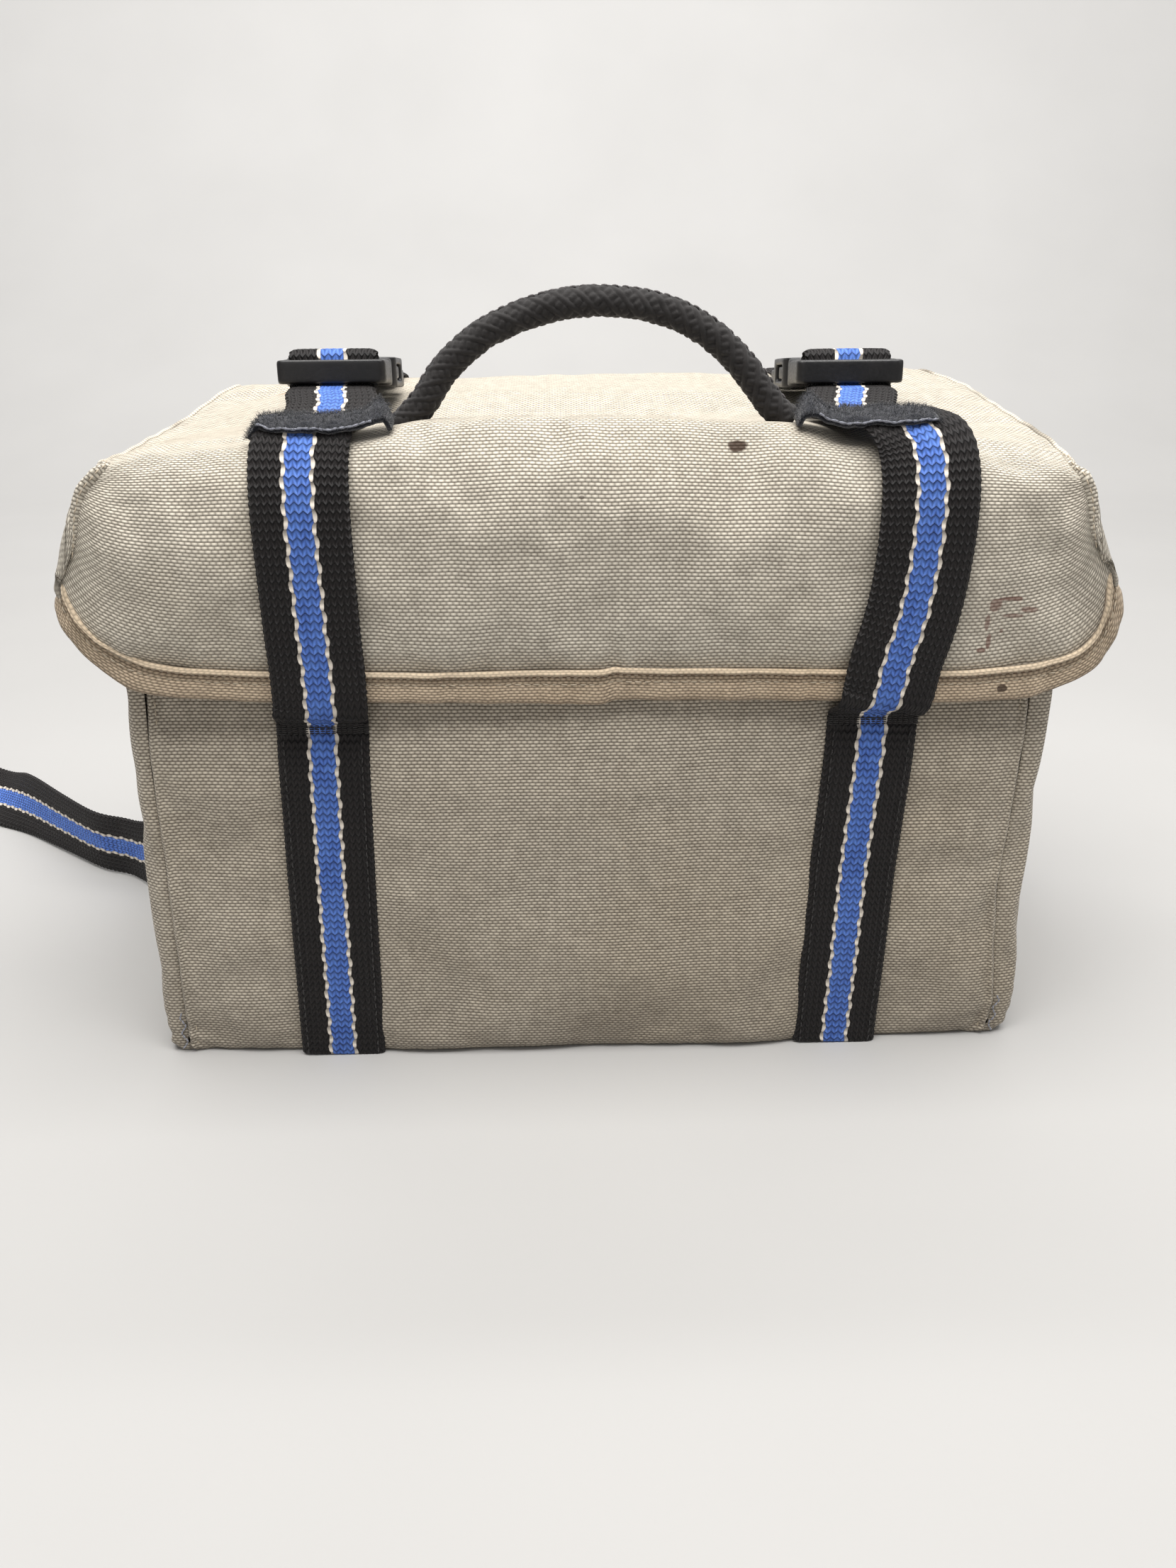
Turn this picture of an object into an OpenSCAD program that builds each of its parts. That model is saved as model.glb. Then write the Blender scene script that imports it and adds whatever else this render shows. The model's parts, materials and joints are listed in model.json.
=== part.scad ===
// Soft padded carry case with a flap lid, two buckled closure straps,
// a rolled carry handle and a shoulder strap. Millimetres, +Z up, front towards -Y,
// origin on the floor under the middle of the case.

/* [Case body] */
// Width of the case body
body_w = 326; // [316:1:330]
// Depth of the case body, front face to back face
body_d = 176.8; // [170:0.2:176.8]
// Height of the body's top rim
body_h = 220; // [200:1:220]
// Thickness of the outer fabric panels
fabric_t = 1; // [0.6:0.1:1.4]
// Thickness of the foam sheets in the walls
foam_t = 6; // [4:0.5:8]
// Thickness of the inner lining
lining_t = 0.8; // [0.5:0.1:1.2]
// Thickness of the stiff board in the bottom
board_t = 3; // [2:0.5:4]
// Outside radius of the upright corners
corner_r = 6; // [3:0.5:6]
// How far the side panels wrap round to the front and back seams
seam_in = 7; // [6:0.5:9]

/* [Lid] */
// Thickness of the stiff sheet in the lid
lid_board_t = 2; // [1.5:0.5:2]
// Thickness of the lid fabric
lid_fabric_t = 1; // [0.6:0.1:1.2]
// Height of the hem binding along the lid's edge
hem_h = 10; // [8:0.5:10.5]
// Thickness of the hem binding
hem_t = 3.4; // [2:0.2:3.6]

/* [Straps and handle] */
// Width of the webbing
web_w = 32; // [25:1:32]
// Thickness of the webbing
web_t = 2; // [1.4:0.1:2.2]
// Thickness of the hook-and-loop band round each strap
band_t = 1.1; // [0.8:0.1:1.2]
// Length of each hook-and-loop band along its strap
band_l = 24; // [16:1:26]
// Diameter of the rolled handle
grip_d = 9; // [7:0.5:9]
// Span of the handle between its ends
grip_span = 126; // [110:1:128]
// Rise of the handle's middle line above its ends
grip_rise = 32; // [26:1:34]

/* [Buckles] */
// Width of the buckle's socket half
socket_w = 42; // [40:1:43]
// Width of the buckle's plug half
plug_w = 40; // [39:0.5:40]
// Thickness of the buckle
buckle_t = 11; // [10:0.5:11]

/* [Hidden] */
$fn = 48;

khaki = [0.66, 0.63, 0.52];
tan_hem = [0.69, 0.63, 0.51];
dark = [0.09, 0.09, 0.10];
blue = [0.22, 0.36, 0.72];

hw = body_w / 2;
yf = -84;
yb = yf + body_d;
in_x = hw - fabric_t - foam_t;
in_f = yf + fabric_t + foam_t;
in_b = yb - fabric_t - foam_t;
floor_z = 1.2 + board_t + foam_t * 0.65;
hinge_y = 95.6;
hinge_z = 222;
strap_back = 95;
tack_z = 138;

// ---- general shapes -------------------------------------------------------

// rectangle from (x0, y0) to (x1, y1) with round corners
module rrect(x0, y0, x1, y1, r) {
  translate([x0 + r, y0]) square([x1 - x0 - 2 * r, y1 - y0]);
  translate([x0, y0 + r]) square([x1 - x0, y1 - y0 - 2 * r]);
  for (x = [x0 + r, x1 - r], y = [y0 + r, y1 - r]) translate([x, y]) circle(r);
}

module slab(x0, x1, y0, y1, z0, z1) translate([x0, y0, z0]) cube([x1 - x0, y1 - y0, z1 - z0]);

function unit(v) = v / max(norm(v), 0.0001);
function last(a) = a[len(a) - 1];
// middle of the path's direction at point i
function along(p, i) = unit(p[min(i + 1, len(p) - 1)] - p[max(i - 1, 0)]);
// Catmull-Rom point between p[i] and p[i+1]
function cr(a, b, c, d, t) = 0.5 * (2 * b + (c - a) * t + (2 * a - 5 * b + 4 * c - d) * t * t + (3 * b - a - 3 * c + d) * t * t * t);
function smooth(p, k) = concat([for (i = [0 : len(p) - 2], j = [0 : k - 1])
  cr(p[max(i - 1, 0)], p[i], p[i + 1], p[min(i + 2, len(p) - 1)], j / k)], [last(p)]);
function path_len(p, i = 0) = i >= len(p) - 1 ? 0 : norm(p[i + 1] - p[i]) + path_len(p, i + 1);

// closed box section swept along a path: c = points, b = width directions, w and t its sides
module ribbon(c, b, w, t) {
  n = len(c);
  v = [for (i = [0 : n - 1])
    let (d = along(c, i), s = unit(b[i] - d * (b[i] * d)), m = unit(cross(d, s)))
    each [c[i] - s * w / 2 - m * t / 2, c[i] + s * w / 2 - m * t / 2,
          c[i] + s * w / 2 + m * t / 2, c[i] - s * w / 2 + m * t / 2]];
  f = concat([[0, 1, 2, 3]],
    [for (i = [0 : n - 2], k = [0 : 3]) each [
      [4 * i + k, 4 * i + 4 + k, 4 * i + 4 + (k + 1) % 4],
      [4 * i + k, 4 * i + 4 + (k + 1) % 4, 4 * i + (k + 1) % 4]]],
    [[4 * n - 1, 4 * n - 2, 4 * n - 3, 4 * n - 4]]);
  polyhedron(v, f, convexity = 6);
}

// webbing that keeps its width level along X, through hand-set points; it may lean sideways
module level_ribbon(c, w, t) {
  n = len(c);
  v = [for (i = [0 : n - 1])
    let (d = along(c, i), s = [1, 0, 0], m = unit(cross(d, s)))
    each [c[i] - s * w / 2 - m * t / 2, c[i] + s * w / 2 - m * t / 2,
          c[i] + s * w / 2 + m * t / 2, c[i] - s * w / 2 + m * t / 2]];
  f = concat([[0, 1, 2, 3]],
    [for (i = [0 : n - 2], k = [0 : 3]) each [
      [4 * i + k, 4 * i + 4 + k, 4 * i + 4 + (k + 1) % 4],
      [4 * i + k, 4 * i + 4 + (k + 1) % 4, 4 * i + (k + 1) % 4]]],
    [[4 * n - 1, 4 * n - 2, 4 * n - 3, 4 * n - 4]]);
  polyhedron(v, f, convexity = 6);
}
module webbing(p, w = web_w, t = web_t, k = 2) level_ribbon(smooth(p, k), w, t);

// ---- case body --------------------------------------------------------------

// side panel with its returns round the front and back corners; s = -1 left, 1 right
module side_panel(s) color(khaki) linear_extrude(body_h) intersection() {
  difference() {
    rrect(-hw, yf, hw, yb, corner_r);
    rrect(-hw + fabric_t, yf + fabric_t, hw - fabric_t, yb - fabric_t, corner_r - fabric_t);
  }
  translate([s > 0 ? hw - seam_in : -hw, yf - 1]) square([seam_in, body_d + 2]);
}

module front_panel() color(khaki) slab(-hw + seam_in, hw - seam_in, yf, yf + fabric_t, 0, body_h);
module back_panel() color(khaki) slab(-hw + seam_in, hw - seam_in, yb - fabric_t, yb, 0, body_h);
module left_side_panel() side_panel(-1);
module right_side_panel() side_panel(1);
module bottom_panel() color(khaki) linear_extrude(1.2)
  rrect(-hw + fabric_t, yf + fabric_t, hw - fabric_t, yb - fabric_t, corner_r - fabric_t);

module front_foam() color([0.3, 0.3, 0.32]) slab(-in_x, in_x, yf + fabric_t, in_f, floor_z, body_h - 1);
module back_foam() color([0.3, 0.3, 0.32]) slab(-in_x, in_x, in_b, yb - fabric_t, floor_z, body_h - 1);
module left_side_foam() color([0.3, 0.3, 0.32]) slab(-hw + fabric_t, -in_x, in_f, in_b, floor_z, body_h - 1);
module right_side_foam() color([0.3, 0.3, 0.32]) slab(in_x, hw - fabric_t, in_f, in_b, floor_z, body_h - 1);
module bottom_board() color([0.45, 0.35, 0.25]) slab(-hw + 3, hw - 3, yf + 3, yb - 3, 1.2, 1.2 + board_t);
module bottom_foam() color([0.3, 0.3, 0.32]) slab(-hw + 3, hw - 3, yf + 3, yb - 3, 1.2 + board_t, floor_z);

// thin inner bag, open at the top
module lining() color([0.12, 0.12, 0.14]) difference() {
  slab(-in_x, in_x, in_f, in_b, floor_z, body_h - 1);
  slab(-in_x + lining_t, in_x - lining_t, in_f + lining_t, in_b - lining_t, floor_z + lining_t, body_h + 1);
}

// tape over the raw top edge of the walls
module rim_binding() color(tan_hem) {
  difference() {
    translate([0, 0, body_h - 1]) linear_extrude(1.5) rrect(-hw - 0.4, yf + 0.1, hw + 0.4, yb, corner_r);
    slab(-in_x + lining_t, in_x - lining_t, in_f + lining_t, in_b - lining_t, body_h - 3, body_h + 3);
    translate([0, 0, body_h - 2]) linear_extrude(2) difference() {
      rrect(-hw, yf, hw, yb, corner_r);
      rrect(-hw + fabric_t, yf + fabric_t, hw - fabric_t, yb - fabric_t, corner_r - fabric_t);
    }
  }
}

// ---- straps sewn to the body ------------------------------------------------

// front strap from the bottom seam to the bar tack, leaning a little
module left_lower_strap() color(dark) webbing([[-96.5, yf - web_t / 2, 0], [-94.7, yf - web_t / 2, 75], [-92.5, yf - web_t / 2, tack_z]]);
module right_lower_strap() color(dark) webbing([[96.5, yf - web_t / 2, 0], [98.6, yf - web_t / 2, 75], [101.5, yf - web_t / 2, tack_z]]);
module left_back_strap() color(dark) slab(-91 - web_w / 2, -91 + web_w / 2, yb, yb + web_t, 0, body_h);
module right_back_strap() color(dark) slab(101 - web_w / 2, 101 + web_w / 2, yb, yb + web_t, 0, body_h);

// doubled webbing patch on the side that holds the shoulder strap's end
module strap_anchor(s) color(dark) difference() {
  slab(s > 0 ? hw : -hw - 4.4, s > 0 ? hw + 4.4 : -hw, 10 - web_w / 2, 10 + web_w / 2, 112, 150);
  slab(s > 0 ? hw + 2 : -hw - 4.6, s > 0 ? hw + 4.6 : -hw - 2, 9 - web_w / 2, 11 + web_w / 2, 146, 151);
}
module left_strap_anchor() strap_anchor(-1);
module right_strap_anchor() strap_anchor(1);

// cloth hinge between the back panel and the lid, in three lengths beside the straps
module hinge_strip() color(khaki) for (x = [[-150, -110], [-74, 84], [118, 150]])
  slab(x[0], x[1], yb, yb + 0.7, 210, 232);

// ---- shoulder strap -----------------------------------------------------------

// route of its middle line, then the direction of its width
strap_route = [
 [[-166, 10, 147], [0, 1, 0]], [[-166.5, 10, 160], [0, 1, 0]], [[-171, 10, 173], [0, 1, 0]], [[-179, 11, 174], [0, 1, 0]],
 [[-185, 13, 160], [0, 1, 0]], [[-188, 17, 130], [0, 1, 0.1]], [[-190, 23, 95], [0, 1, 0.2]], [[-195, 33, 58], [-0.2, 1, 0.5]],
 [[-205, 48, 30], [-0.2, 0.7, 1]], [[-218, 66, 19], [0, 0.2, 1]], [[-233, 79, 17], [0, 0, 1]], [[-251, 88, 17.2], [0, 0, 1]],
 [[-278, 112, 17.4], [0.05, 0.1, 1]], [[-309, 142, 16], [0.22, 0.27, 0.93]], [[-339, 167, 12.4], [0.5, 0.6, 0.62]],
 [[-363, 181, 13.4], [0.4, 0.55, 0.73]], [[-386, 190, 16.8], [0.1, 0.2, 1]], [[-403, 203, 17.6], [0, 0, 1]], [[-401, 221, 17.6], [0, 0, 1]],
 [[-384, 226, 17.2], [-0.1, -0.12, 1]], [[-367, 215, 14], [-0.4, -0.5, 0.75]], [[-349, 199, 8.4], [-0.58, -0.72, 0.38]],
 [[-326, 181, 7], [-0.58, -0.72, 0.32]], [[-297, 156, 10.2], [-0.55, -0.62, 0.55]], [[-267, 129, 11.5], [-0.5, -0.6, 0.62]],
 [[-242, 109, 11], [-0.36, -0.7, 0.58]], [[-216, 107, 7.4], [-0.1, -0.92, 0.35]], [[-188, 112, 3], [0, -1, 0.08]], [[-155, 117, 1.4], [0, -1, 0]],
 [[-110, 118, 1.2], [0, -1, 0]], [[-40, 118, 1.2], [0, -1, 0]],
 [[40, 118, 1.2], [0, -1, 0]], [[100, 118, 1.2], [0, -1, 0]], [[145, 118, 1.8], [0, -1, 0]], [[176, 112, 6], [-0.2, -1, -0.2]],
 [[194, 96, 14], [-0.5, -0.8, -0.7]], [[198, 72, 26], [-0.2, -0.7, -0.9]], [[196, 48, 50], [0, -0.8, -0.6]], [[192, 28, 85], [0, -1, -0.3]],
 [[189, 17, 125], [0, -1, -0.1]], [[185, 12, 158], [0, -1, 0]], [[179, 11, 174], [0, -1, 0]], [[171, 10, 173], [0, -1, 0]],
 [[166.5, 10, 160], [0, -1, 0]], [[166, 10, 147], [0, -1, 0]]];
module shoulder_strap() color(dark) {
  c = smooth([for (r = strap_route) r[0]], 2);
  b = smooth([for (r = strap_route) r[1]], 2);
  ribbon(c, b, web_w, web_t);
}

// three-bar slider lying on the strap behind the case
module strap_slider() color(dark) translate([0, 118, 0]) difference() {
  translate([0, 0, 0.1]) linear_extrude(5) rrect(-12, -web_w / 2 - 4, 12, web_w / 2 + 4, 3);
  slab(-9, -2, -web_w / 2 - 0.6, web_w / 2 + 0.6, -1, 8);
  slab(2, 9, -web_w / 2 - 0.6, web_w / 2 + 0.6, -1, 8);
  slab(-13, 13, -web_w / 2 - 0.6, web_w / 2 + 0.6, -1, 2.5);
}

// ---- lid -------------------------------------------------------------------------

// outer profile of the lid from the hinge, over the top, down the flap: [y, z]
lid_mid = [[92.6, 223], [92.6, 235], [88, 241], [80, 243], [70, 243.5], [55, 242], [40, 239.5], [28, 236], [16, 232.5], [4, 230.5],
 [-10, 229.5], [-25, 229.8], [-40, 231], [-55, 233], [-68, 235], [-76, 235.5], [-82, 234], [-87, 229], [-90, 220], [-91.5, 208],
 [-92, 196], [-91.6, 182], [-91, 168], [-89.8, 155.2]];
lid_end = [[92.6, 223], [92.6, 233], [88, 239], [80, 241], [70, 240], [55, 237.5], [40, 235.5], [28, 234], [16, 232.5], [4, 231],
 [-10, 229.5], [-25, 228], [-40, 226.5], [-55, 225.2], [-68, 224.2], [-76, 223.8], [-82, 223.4], [-87, 221.6], [-89.6, 215], [-90.6, 208],
 [-91, 202], [-91, 198], [-91, 195], [-91, 192]];
lid_xs = [-166, -161, -152, -142, -130, -115, -100, -80, -55, -28, 0, 28, 55, 80, 100, 115, 130, 142, 152, 161, 166];
// lower edge of the flap: sideways place and height for each column
flap_x = [[0, 0], [55, 55], [80, 81], [100, 102], [115, 118], [130, 134], [142, 148], [152, 158], [161, 164.5], [166, 168]];
flap_z = [[0, 155.6], [80, 155.8], [100, 156.2], [115, 157], [130, 158.6], [142, 161.3], [152, 166.5], [161, 174.5], [166, 188]];
top_row = 17;
end_row = 23;
function side(x) = pow(abs(x) / 166, 3);
function row_x(x, i) = x * (i < 15 ? 1 : i == 15 ? 0.99 : i == 16 ? 0.975 : 0.96);
function row_y(x, i) = lid_mid[i][0] * (1 - side(x)) + lid_end[i][0] * side(x);
function row_z(x, i) = lid_mid[i][1] * (1 - side(x)) + lid_end[i][1] * side(x);
function down(i) = (i - top_row) / (end_row - top_row);
function lid_x(x, i) = i <= top_row ? row_x(x, i) :
  row_x(x, top_row) * (1 - down(i)) + sign(x) * lookup(abs(x), flap_x) * down(i);
function lid_z(x, i) = i <= top_row ? row_z(x, i) : row_z(x, top_row) * (1 - down(i)) + lookup(abs(x), flap_z) * down(i);
function lid_y(x, i) = i <= top_row ? row_y(x, i) :
  lookup(lid_z(x, i), [[155, -89.8], [168, -91], [182, -91.6], [196, -92], [208, -91.5], [220, -90], [229, -87]]);

// sheet between rows i0 and i1 of the profile, its outer face dropped in by d, t thick
module lid_sheet(i0, i1, xs, d, t) {
  n = i1 - i0 + 1; m = len(xs);
  // inward direction for each row
  nrm = [for (i = [i0 : i1]) i < 1 ? [0, -1, 0] : i < 3 ? unit([0, -1, -0.6]) : i < 14 ? [0, 0, -1] : i < 16 ? unit([0, 0.3, -1]) :
         i < 17 ? unit([0, 0.7, -1]) : i < 18 ? unit([0, 1, -0.7]) : [0, 1, 0]];
  top = [for (a = [0 : n - 1], x = xs) [lid_x(x, i0 + a), lid_y(x, i0 + a), lid_z(x, i0 + a)] + nrm[a] * d];
  bot = [for (a = [0 : n - 1], k = [0 : m - 1]) top[a * m + k] + nrm[a] * t];
  o = n * m;
  f = concat(
    [for (a = [0 : n - 2], k = [0 : m - 2]) let (p = a * m + k) each [[p, p + 1, p + m + 1], [p, p + m + 1, p + m]]],
    [for (a = [0 : n - 2], k = [0 : m - 2]) let (p = o + a * m + k) each [[p, p + m + 1, p + 1], [p, p + m, p + m + 1]]],
    [for (a = [0 : n - 2]) let (p = a * m, q = a * m + m - 1) each [[p, p + m, o + p + m], [p, o + p + m, o + p],
      [q, o + q, o + q + m], [q, o + q + m, q + m]]],
    [for (k = [0 : m - 2]) let (p = k, q = (n - 1) * m + k) each [[p, o + p, o + p + 1], [p, o + p + 1, p + 1],
      [q, q + 1, o + q + 1], [q, o + q + 1, o + q]]]);
  polyhedron(concat(top, bot), f, convexity = 8);
}

module lid_cover() color(khaki) lid_sheet(0, 23, lid_xs, 0, lid_fabric_t);

// side skirt of the lid; s = -1 left, 1 right
module lid_skirt(s) color(khaki) translate([s > 0 ? 164.6 : -165.8, 0, 0]) rotate([90, 0, 90]) linear_extrude(1.2)
  polygon(concat([[-86, 194], [90, 194], [91, 222]], [for (i = [2 : 14]) [lid_end[i][0], lid_end[i][1] - lid_fabric_t - 0.6]], [[-80, 214], [-85, 204]]));
module lid_left_skirt() lid_skirt(-1);
module lid_right_skirt() lid_skirt(1);

lb_z = 221.5;
module lid_board() color([0.45, 0.35, 0.25]) translate([0, 0, lb_z]) linear_extrude(lid_board_t)
  difference() { rrect(-158, -78, 158, 89, 8); for (s = [-1, 1]) translate([s * 160, -80]) circle(22); }

// foam that fills the lid between the board and the cover
module lid_padding() color([0.3, 0.3, 0.32]) {
  xs = [for (x = [-150 : 25 : 150]) x];
  y = [for (i = [4 : 14]) i];
  m = len(xs); n = len(y);
  top = [for (i = y, x = xs) [x, lid_y(x, i) * 0.97 - 1, max(lid_z(x, i) - lid_fabric_t - 1.6, lb_z + lid_board_t + 0.4)]];
  bot = [for (p = top) [p[0], p[1], lb_z + lid_board_t]];
  o = n * m;
  f = concat(
    [for (a = [0 : n - 2], k = [0 : m - 2]) let (p = a * m + k) each [[p, p + 1, p + m + 1], [p, p + m + 1, p + m]]],
    [for (a = [0 : n - 2], k = [0 : m - 2]) let (p = o + a * m + k) each [[p, p + m + 1, p + 1], [p, p + m, p + m + 1]]],
    [for (a = [0 : n - 2]) let (p = a * m, q = a * m + m - 1) each [[p, p + m, o + p + m], [p, o + p + m, o + p],
      [q, o + q, o + q + m], [q, o + q + m, q + m]]],
    [for (k = [0 : m - 2]) let (p = k, q = (n - 1) * m + k) each [[p, o + p, o + p + 1], [p, o + p + 1, p + 1],
      [q, q + 1, o + q + 1], [q, o + q + 1, o + q]]]);
  polyhedron(concat(top, bot), f, convexity = 6);
}

module flap_foam() color([0.3, 0.3, 0.32]) translate([0, -85, 0]) rotate([90, 0, 0]) linear_extrude(3.2)
  rrect(-156, 170, 156, 216, 8);
module lid_lining() color([0.12, 0.12, 0.14]) {
  slab(-155, 155, -83.9, 90, lb_z - 0.8, lb_z);
  translate([0, -84.3, 0]) rotate([90, 0, 0]) linear_extrude(0.6) rrect(-153, 160, 153, lb_z - 3, 8);
}

// hem along the side skirts, round the flap's corners and across the front: point, outward direction
hem_half = [[[167.7, 89, 192], [1, 0, 0]], [[167.7, 50, 192], [1, 0, 0]], [[167.7, 10, 191.8], [1, 0, 0]], [[167.8, -30, 191.5], [1, 0, 0]],
 [[168.4, -62, 190.5], [1, -0.1, 0]], [[170.8, -80, 188.5], [1, -0.5, 0]], [[173.4, -88.6, 183], [0.6, -1, 0]], [[173.4, -89.7, 176], [0.2, -1, 0]],
 [[170.6, -89.8, 168], [0, -1, 0]], [[162.5, -89.6, 160.2], [0, -1, 0]], [[150, -89.5, 154.8], [0, -1, 0]], [[135, -89.4, 151.8], [0, -1, 0]],
 [[118, -89.4, 150.2], [0, -1, 0]], [[80, -89.4, 149.2], [0, -1, 0]], [[40, -89.4, 149], [0, -1, 0]], [[0, -89.4, 149], [0, -1, 0]]];
module lid_binding() color(tan_hem) {
  k = len(hem_half);
  c = concat([for (i = [0 : k - 1]) let (p = hem_half[i][0]) [-p[0], p[1], p[2]]], [for (i = [k - 2 : -1 : 0]) hem_half[i][0]]);
  u = concat([for (i = [0 : k - 1]) let (p = hem_half[i][1]) [-p[0], p[1], p[2]]], [for (i = [k - 2 : -1 : 0]) hem_half[i][1]]);
  ribbon(c, [for (i = [0 : len(c) - 1]) cross(unit(u[i]), along(c, i))], hem_h, hem_t);
}

// webbing from the socket over the lid's back edge to the hinge seam
module lid_strap(x, h) color(dark) webbing([[x, 31.7, 243.3 + h], [x, 31.8, 247.8 + h], [x, 33.5, 249.8 + h], [x, 37, 249.8 + h], [x, 40.5, 248.2 + h / 2], [x, 45, 245.6], [x, 54, 244.6], [x, 66, 245],
  [x, 78, 244.8], [x, 87, 243], [x, 92.6, 239.4], [x, 94, 234], [x, 94, 223.2]]);
module left_lid_strap() lid_strap(left_x, left_rise);
module right_lid_strap() lid_strap(right_x, right_rise);

// ---- buckles: local +Y runs back from the plug's front bar -------------------------

buckle_y = -20;
buckle_z = 249;
tilt = -3;
left_x = -91;
right_x = 101;
left_rise = 1.4;
right_rise = -0.4;
module at_buckle(x) translate([x, buckle_y, buckle_z + (x < 0 ? left_rise : right_rise)]) rotate([tilt, 0, 0]) children();

// side profile extruded across the buckle
module bar(y0, y1, z0, z1, w) slab(-w / 2, w / 2, y0, y1, z0, z1);

module socket(x) color(dark) at_buckle(x) difference() {
  union() {
    translate([0, 0, -buckle_t / 2]) linear_extrude(buckle_t) rrect(-socket_w / 2, 21.6, socket_w / 2, 48, 5);
    translate([0, 0, -buckle_t / 2]) linear_extrude(buckle_t - 4) rrect(-socket_w / 2 + 1, 40, socket_w / 2 - 1, 58, 3);
  }
  bar(20, 44, -3, 3, 33.5);
  translate([0, 0, -3]) linear_extrude(6) rrect(-socket_w / 2 - 6, 27, socket_w / 2 + 6, 40, 3);
  slab(-web_w / 2 - 0.6, web_w / 2 + 0.6, 49.5, 54, -8, 8);
}
module left_buckle_socket() socket(left_x);
module right_buckle_socket() socket(right_x);

// ladder-lock half: front bar, raised middle bar, shoulder
module plug(x) color(dark) at_buckle(x) difference() {
  union() {
    translate([0, 0, -4.2]) linear_extrude(8.4) rrect(-plug_w / 2, 0, plug_w / 2, 21, 2.5);
    bar(8.6, 11.4, 0, 4.6, plug_w - 2);
    translate([0, 0, -5]) linear_extrude(10) rrect(-plug_w / 2, 15.6, plug_w / 2, 21.2, 2);
  }
  slab(-web_w / 2 - 0.6, web_w / 2 + 0.6, 3.6, 8.6, -8, 8);
  slab(-web_w / 2 - 0.6, web_w / 2 + 0.6, 11.4, 15.6, -8, 8);
  slab(-web_w / 2 - 0.6, web_w / 2 + 0.6, 8, 12, -8, 0.6);
}
module left_buckle_plug() plug(left_x);
module right_buckle_plug() plug(right_x);

// spring arms with finger pads, and the guide between them
module prongs(x) color(dark) at_buckle(x) for (s = [-1, 1]) {
  translate([0, 0, -2.4]) linear_extrude(4.8) polygon([[s * 10.5, 21.2], [s * 15, 21.2], [s * 16, 27.4], [s * 20.4, 28], [s * 20.8, 34],
    [s * 17.4, 38], [s * 14.2, 42], [s * 12.4, 41.6], [s * 14.4, 34], [s * 13.4, 27]]);
  if (s > 0) translate([0, 0, -2.4]) linear_extrude(4.8) rrect(-3, 21.2, 3, 39, 1.2);
}
module left_buckle_prongs() prongs(left_x);
module right_buckle_prongs() prongs(right_x);

// ---- closure straps above the bar tack ----------------------------------------------

left_line = [[-92.4, -85.1, 139.4], [-92.2, -86.4, 140], [-91.8, -90.4, 141], [-91.3, -92.6, 143], [-91.1, -93.3, 147], [-91, -93.6, 158],
 [-91.3, -93.9, 170], [-91.4, -94, 182], [-91.5, -94, 196], [-91.6, -93.7, 208], [-91.6, -92.8, 217], [-91.6, -91, 224.6],
 [-91.4, -87.6, 231.4], [-91, -82.4, 236.6], [-90.6, -75, 239.4], [-90, -66, 240.6]];
tail_x = [[-90, -3.3], [-89.9, -6.4], [-90.2, -6], [-90.6, -3.4], [-91, -0.8], [-91, -0.2], [-91, 0], [-91, 0], [-91, 0], [-91, 0], [-91, 0],
 [-91, 0], [-91, 0], [-91, 0], [-91, 0]];
tail_line = [[-64.6, 240.8], [-56, 241.6], [-46, 242.2], [-36, 242.6], [-27, 242.7], [-19.3, 242.8], [-15.9, 243.8], [-14.1, 247.2],
 [-13.9, 251.7], [-12.7, 254.4], [-10.9, 255.5], [-8.7, 255.4], [-6.9, 253.7], [-6.3, 250.3], [-6.6, 243.8]];
function tail(side, rise) = [for (i = [0 : 14]) [side ? tail_x[i][0] : 101 + tail_x[i][1], tail_line[i][0],
  tail_line[i][1] + rise * min(max((i - 1) / 4, 0), 1)]];
left_tail = tail(true, left_rise);
right_tail = tail(false, right_rise);
right_dx = [0, 0.4, 1, 1.8, 2.8, 4.4, 7.4, 9.4, 10.6, 11, 11, 10.6, 9.6, 7, 2, -3];
right_line = [for (i = [0 : len(left_line) - 1]) [101.4 + right_dx[i], left_line[i][1], left_line[i][2]]];
module left_upper_strap() color(dark) webbing(left_line);
module right_upper_strap() color(dark) webbing(right_line);
module left_tail_strap() color(dark) webbing(left_tail);
module right_tail_strap() color(dark) webbing(right_tail);

// hook-and-loop band wrapped round the strap over the lid's front edge
module band(p, s) color([0.1, 0.1, 0.14]) {
  q = smooth(p, 2);
  c = [for (i = [24 : 29]) q[i]];
  e = [for (i = [23 : 30]) q[i]];
  difference() {
    union() {
      level_ribbon(c, web_w + 2 * band_t + 1.6, web_t + 2 * band_t + 0.4);
      translate([last(p)[0] + s * 23, -72, 238.6]) cube([16, 12, 3], center = true);
    }
    level_ribbon(e, web_w + 1.4, web_t + 0.3);
  }
}
module left_handle_band() band(left_line, 1);
module right_handle_band() band(right_line, -1);

// rolled handle, an arc standing on the lid's front edge
grip_r = (grip_span * grip_span / 4 + grip_rise * grip_rise) / (2 * grip_rise);
grip_a = 2 * asin(grip_span / 2 / grip_r);
module handle_grip() color(dark) translate([5, -66, 241 + grip_rise - grip_r]) rotate([90, 0, 0]) rotate([0, 0, 90 - grip_a / 2])
  rotate_extrude(angle = grip_a) translate([grip_r, 0]) circle(grip_d / 2);

// ---- what is drawn ----------------------------------------------------------------------

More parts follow.
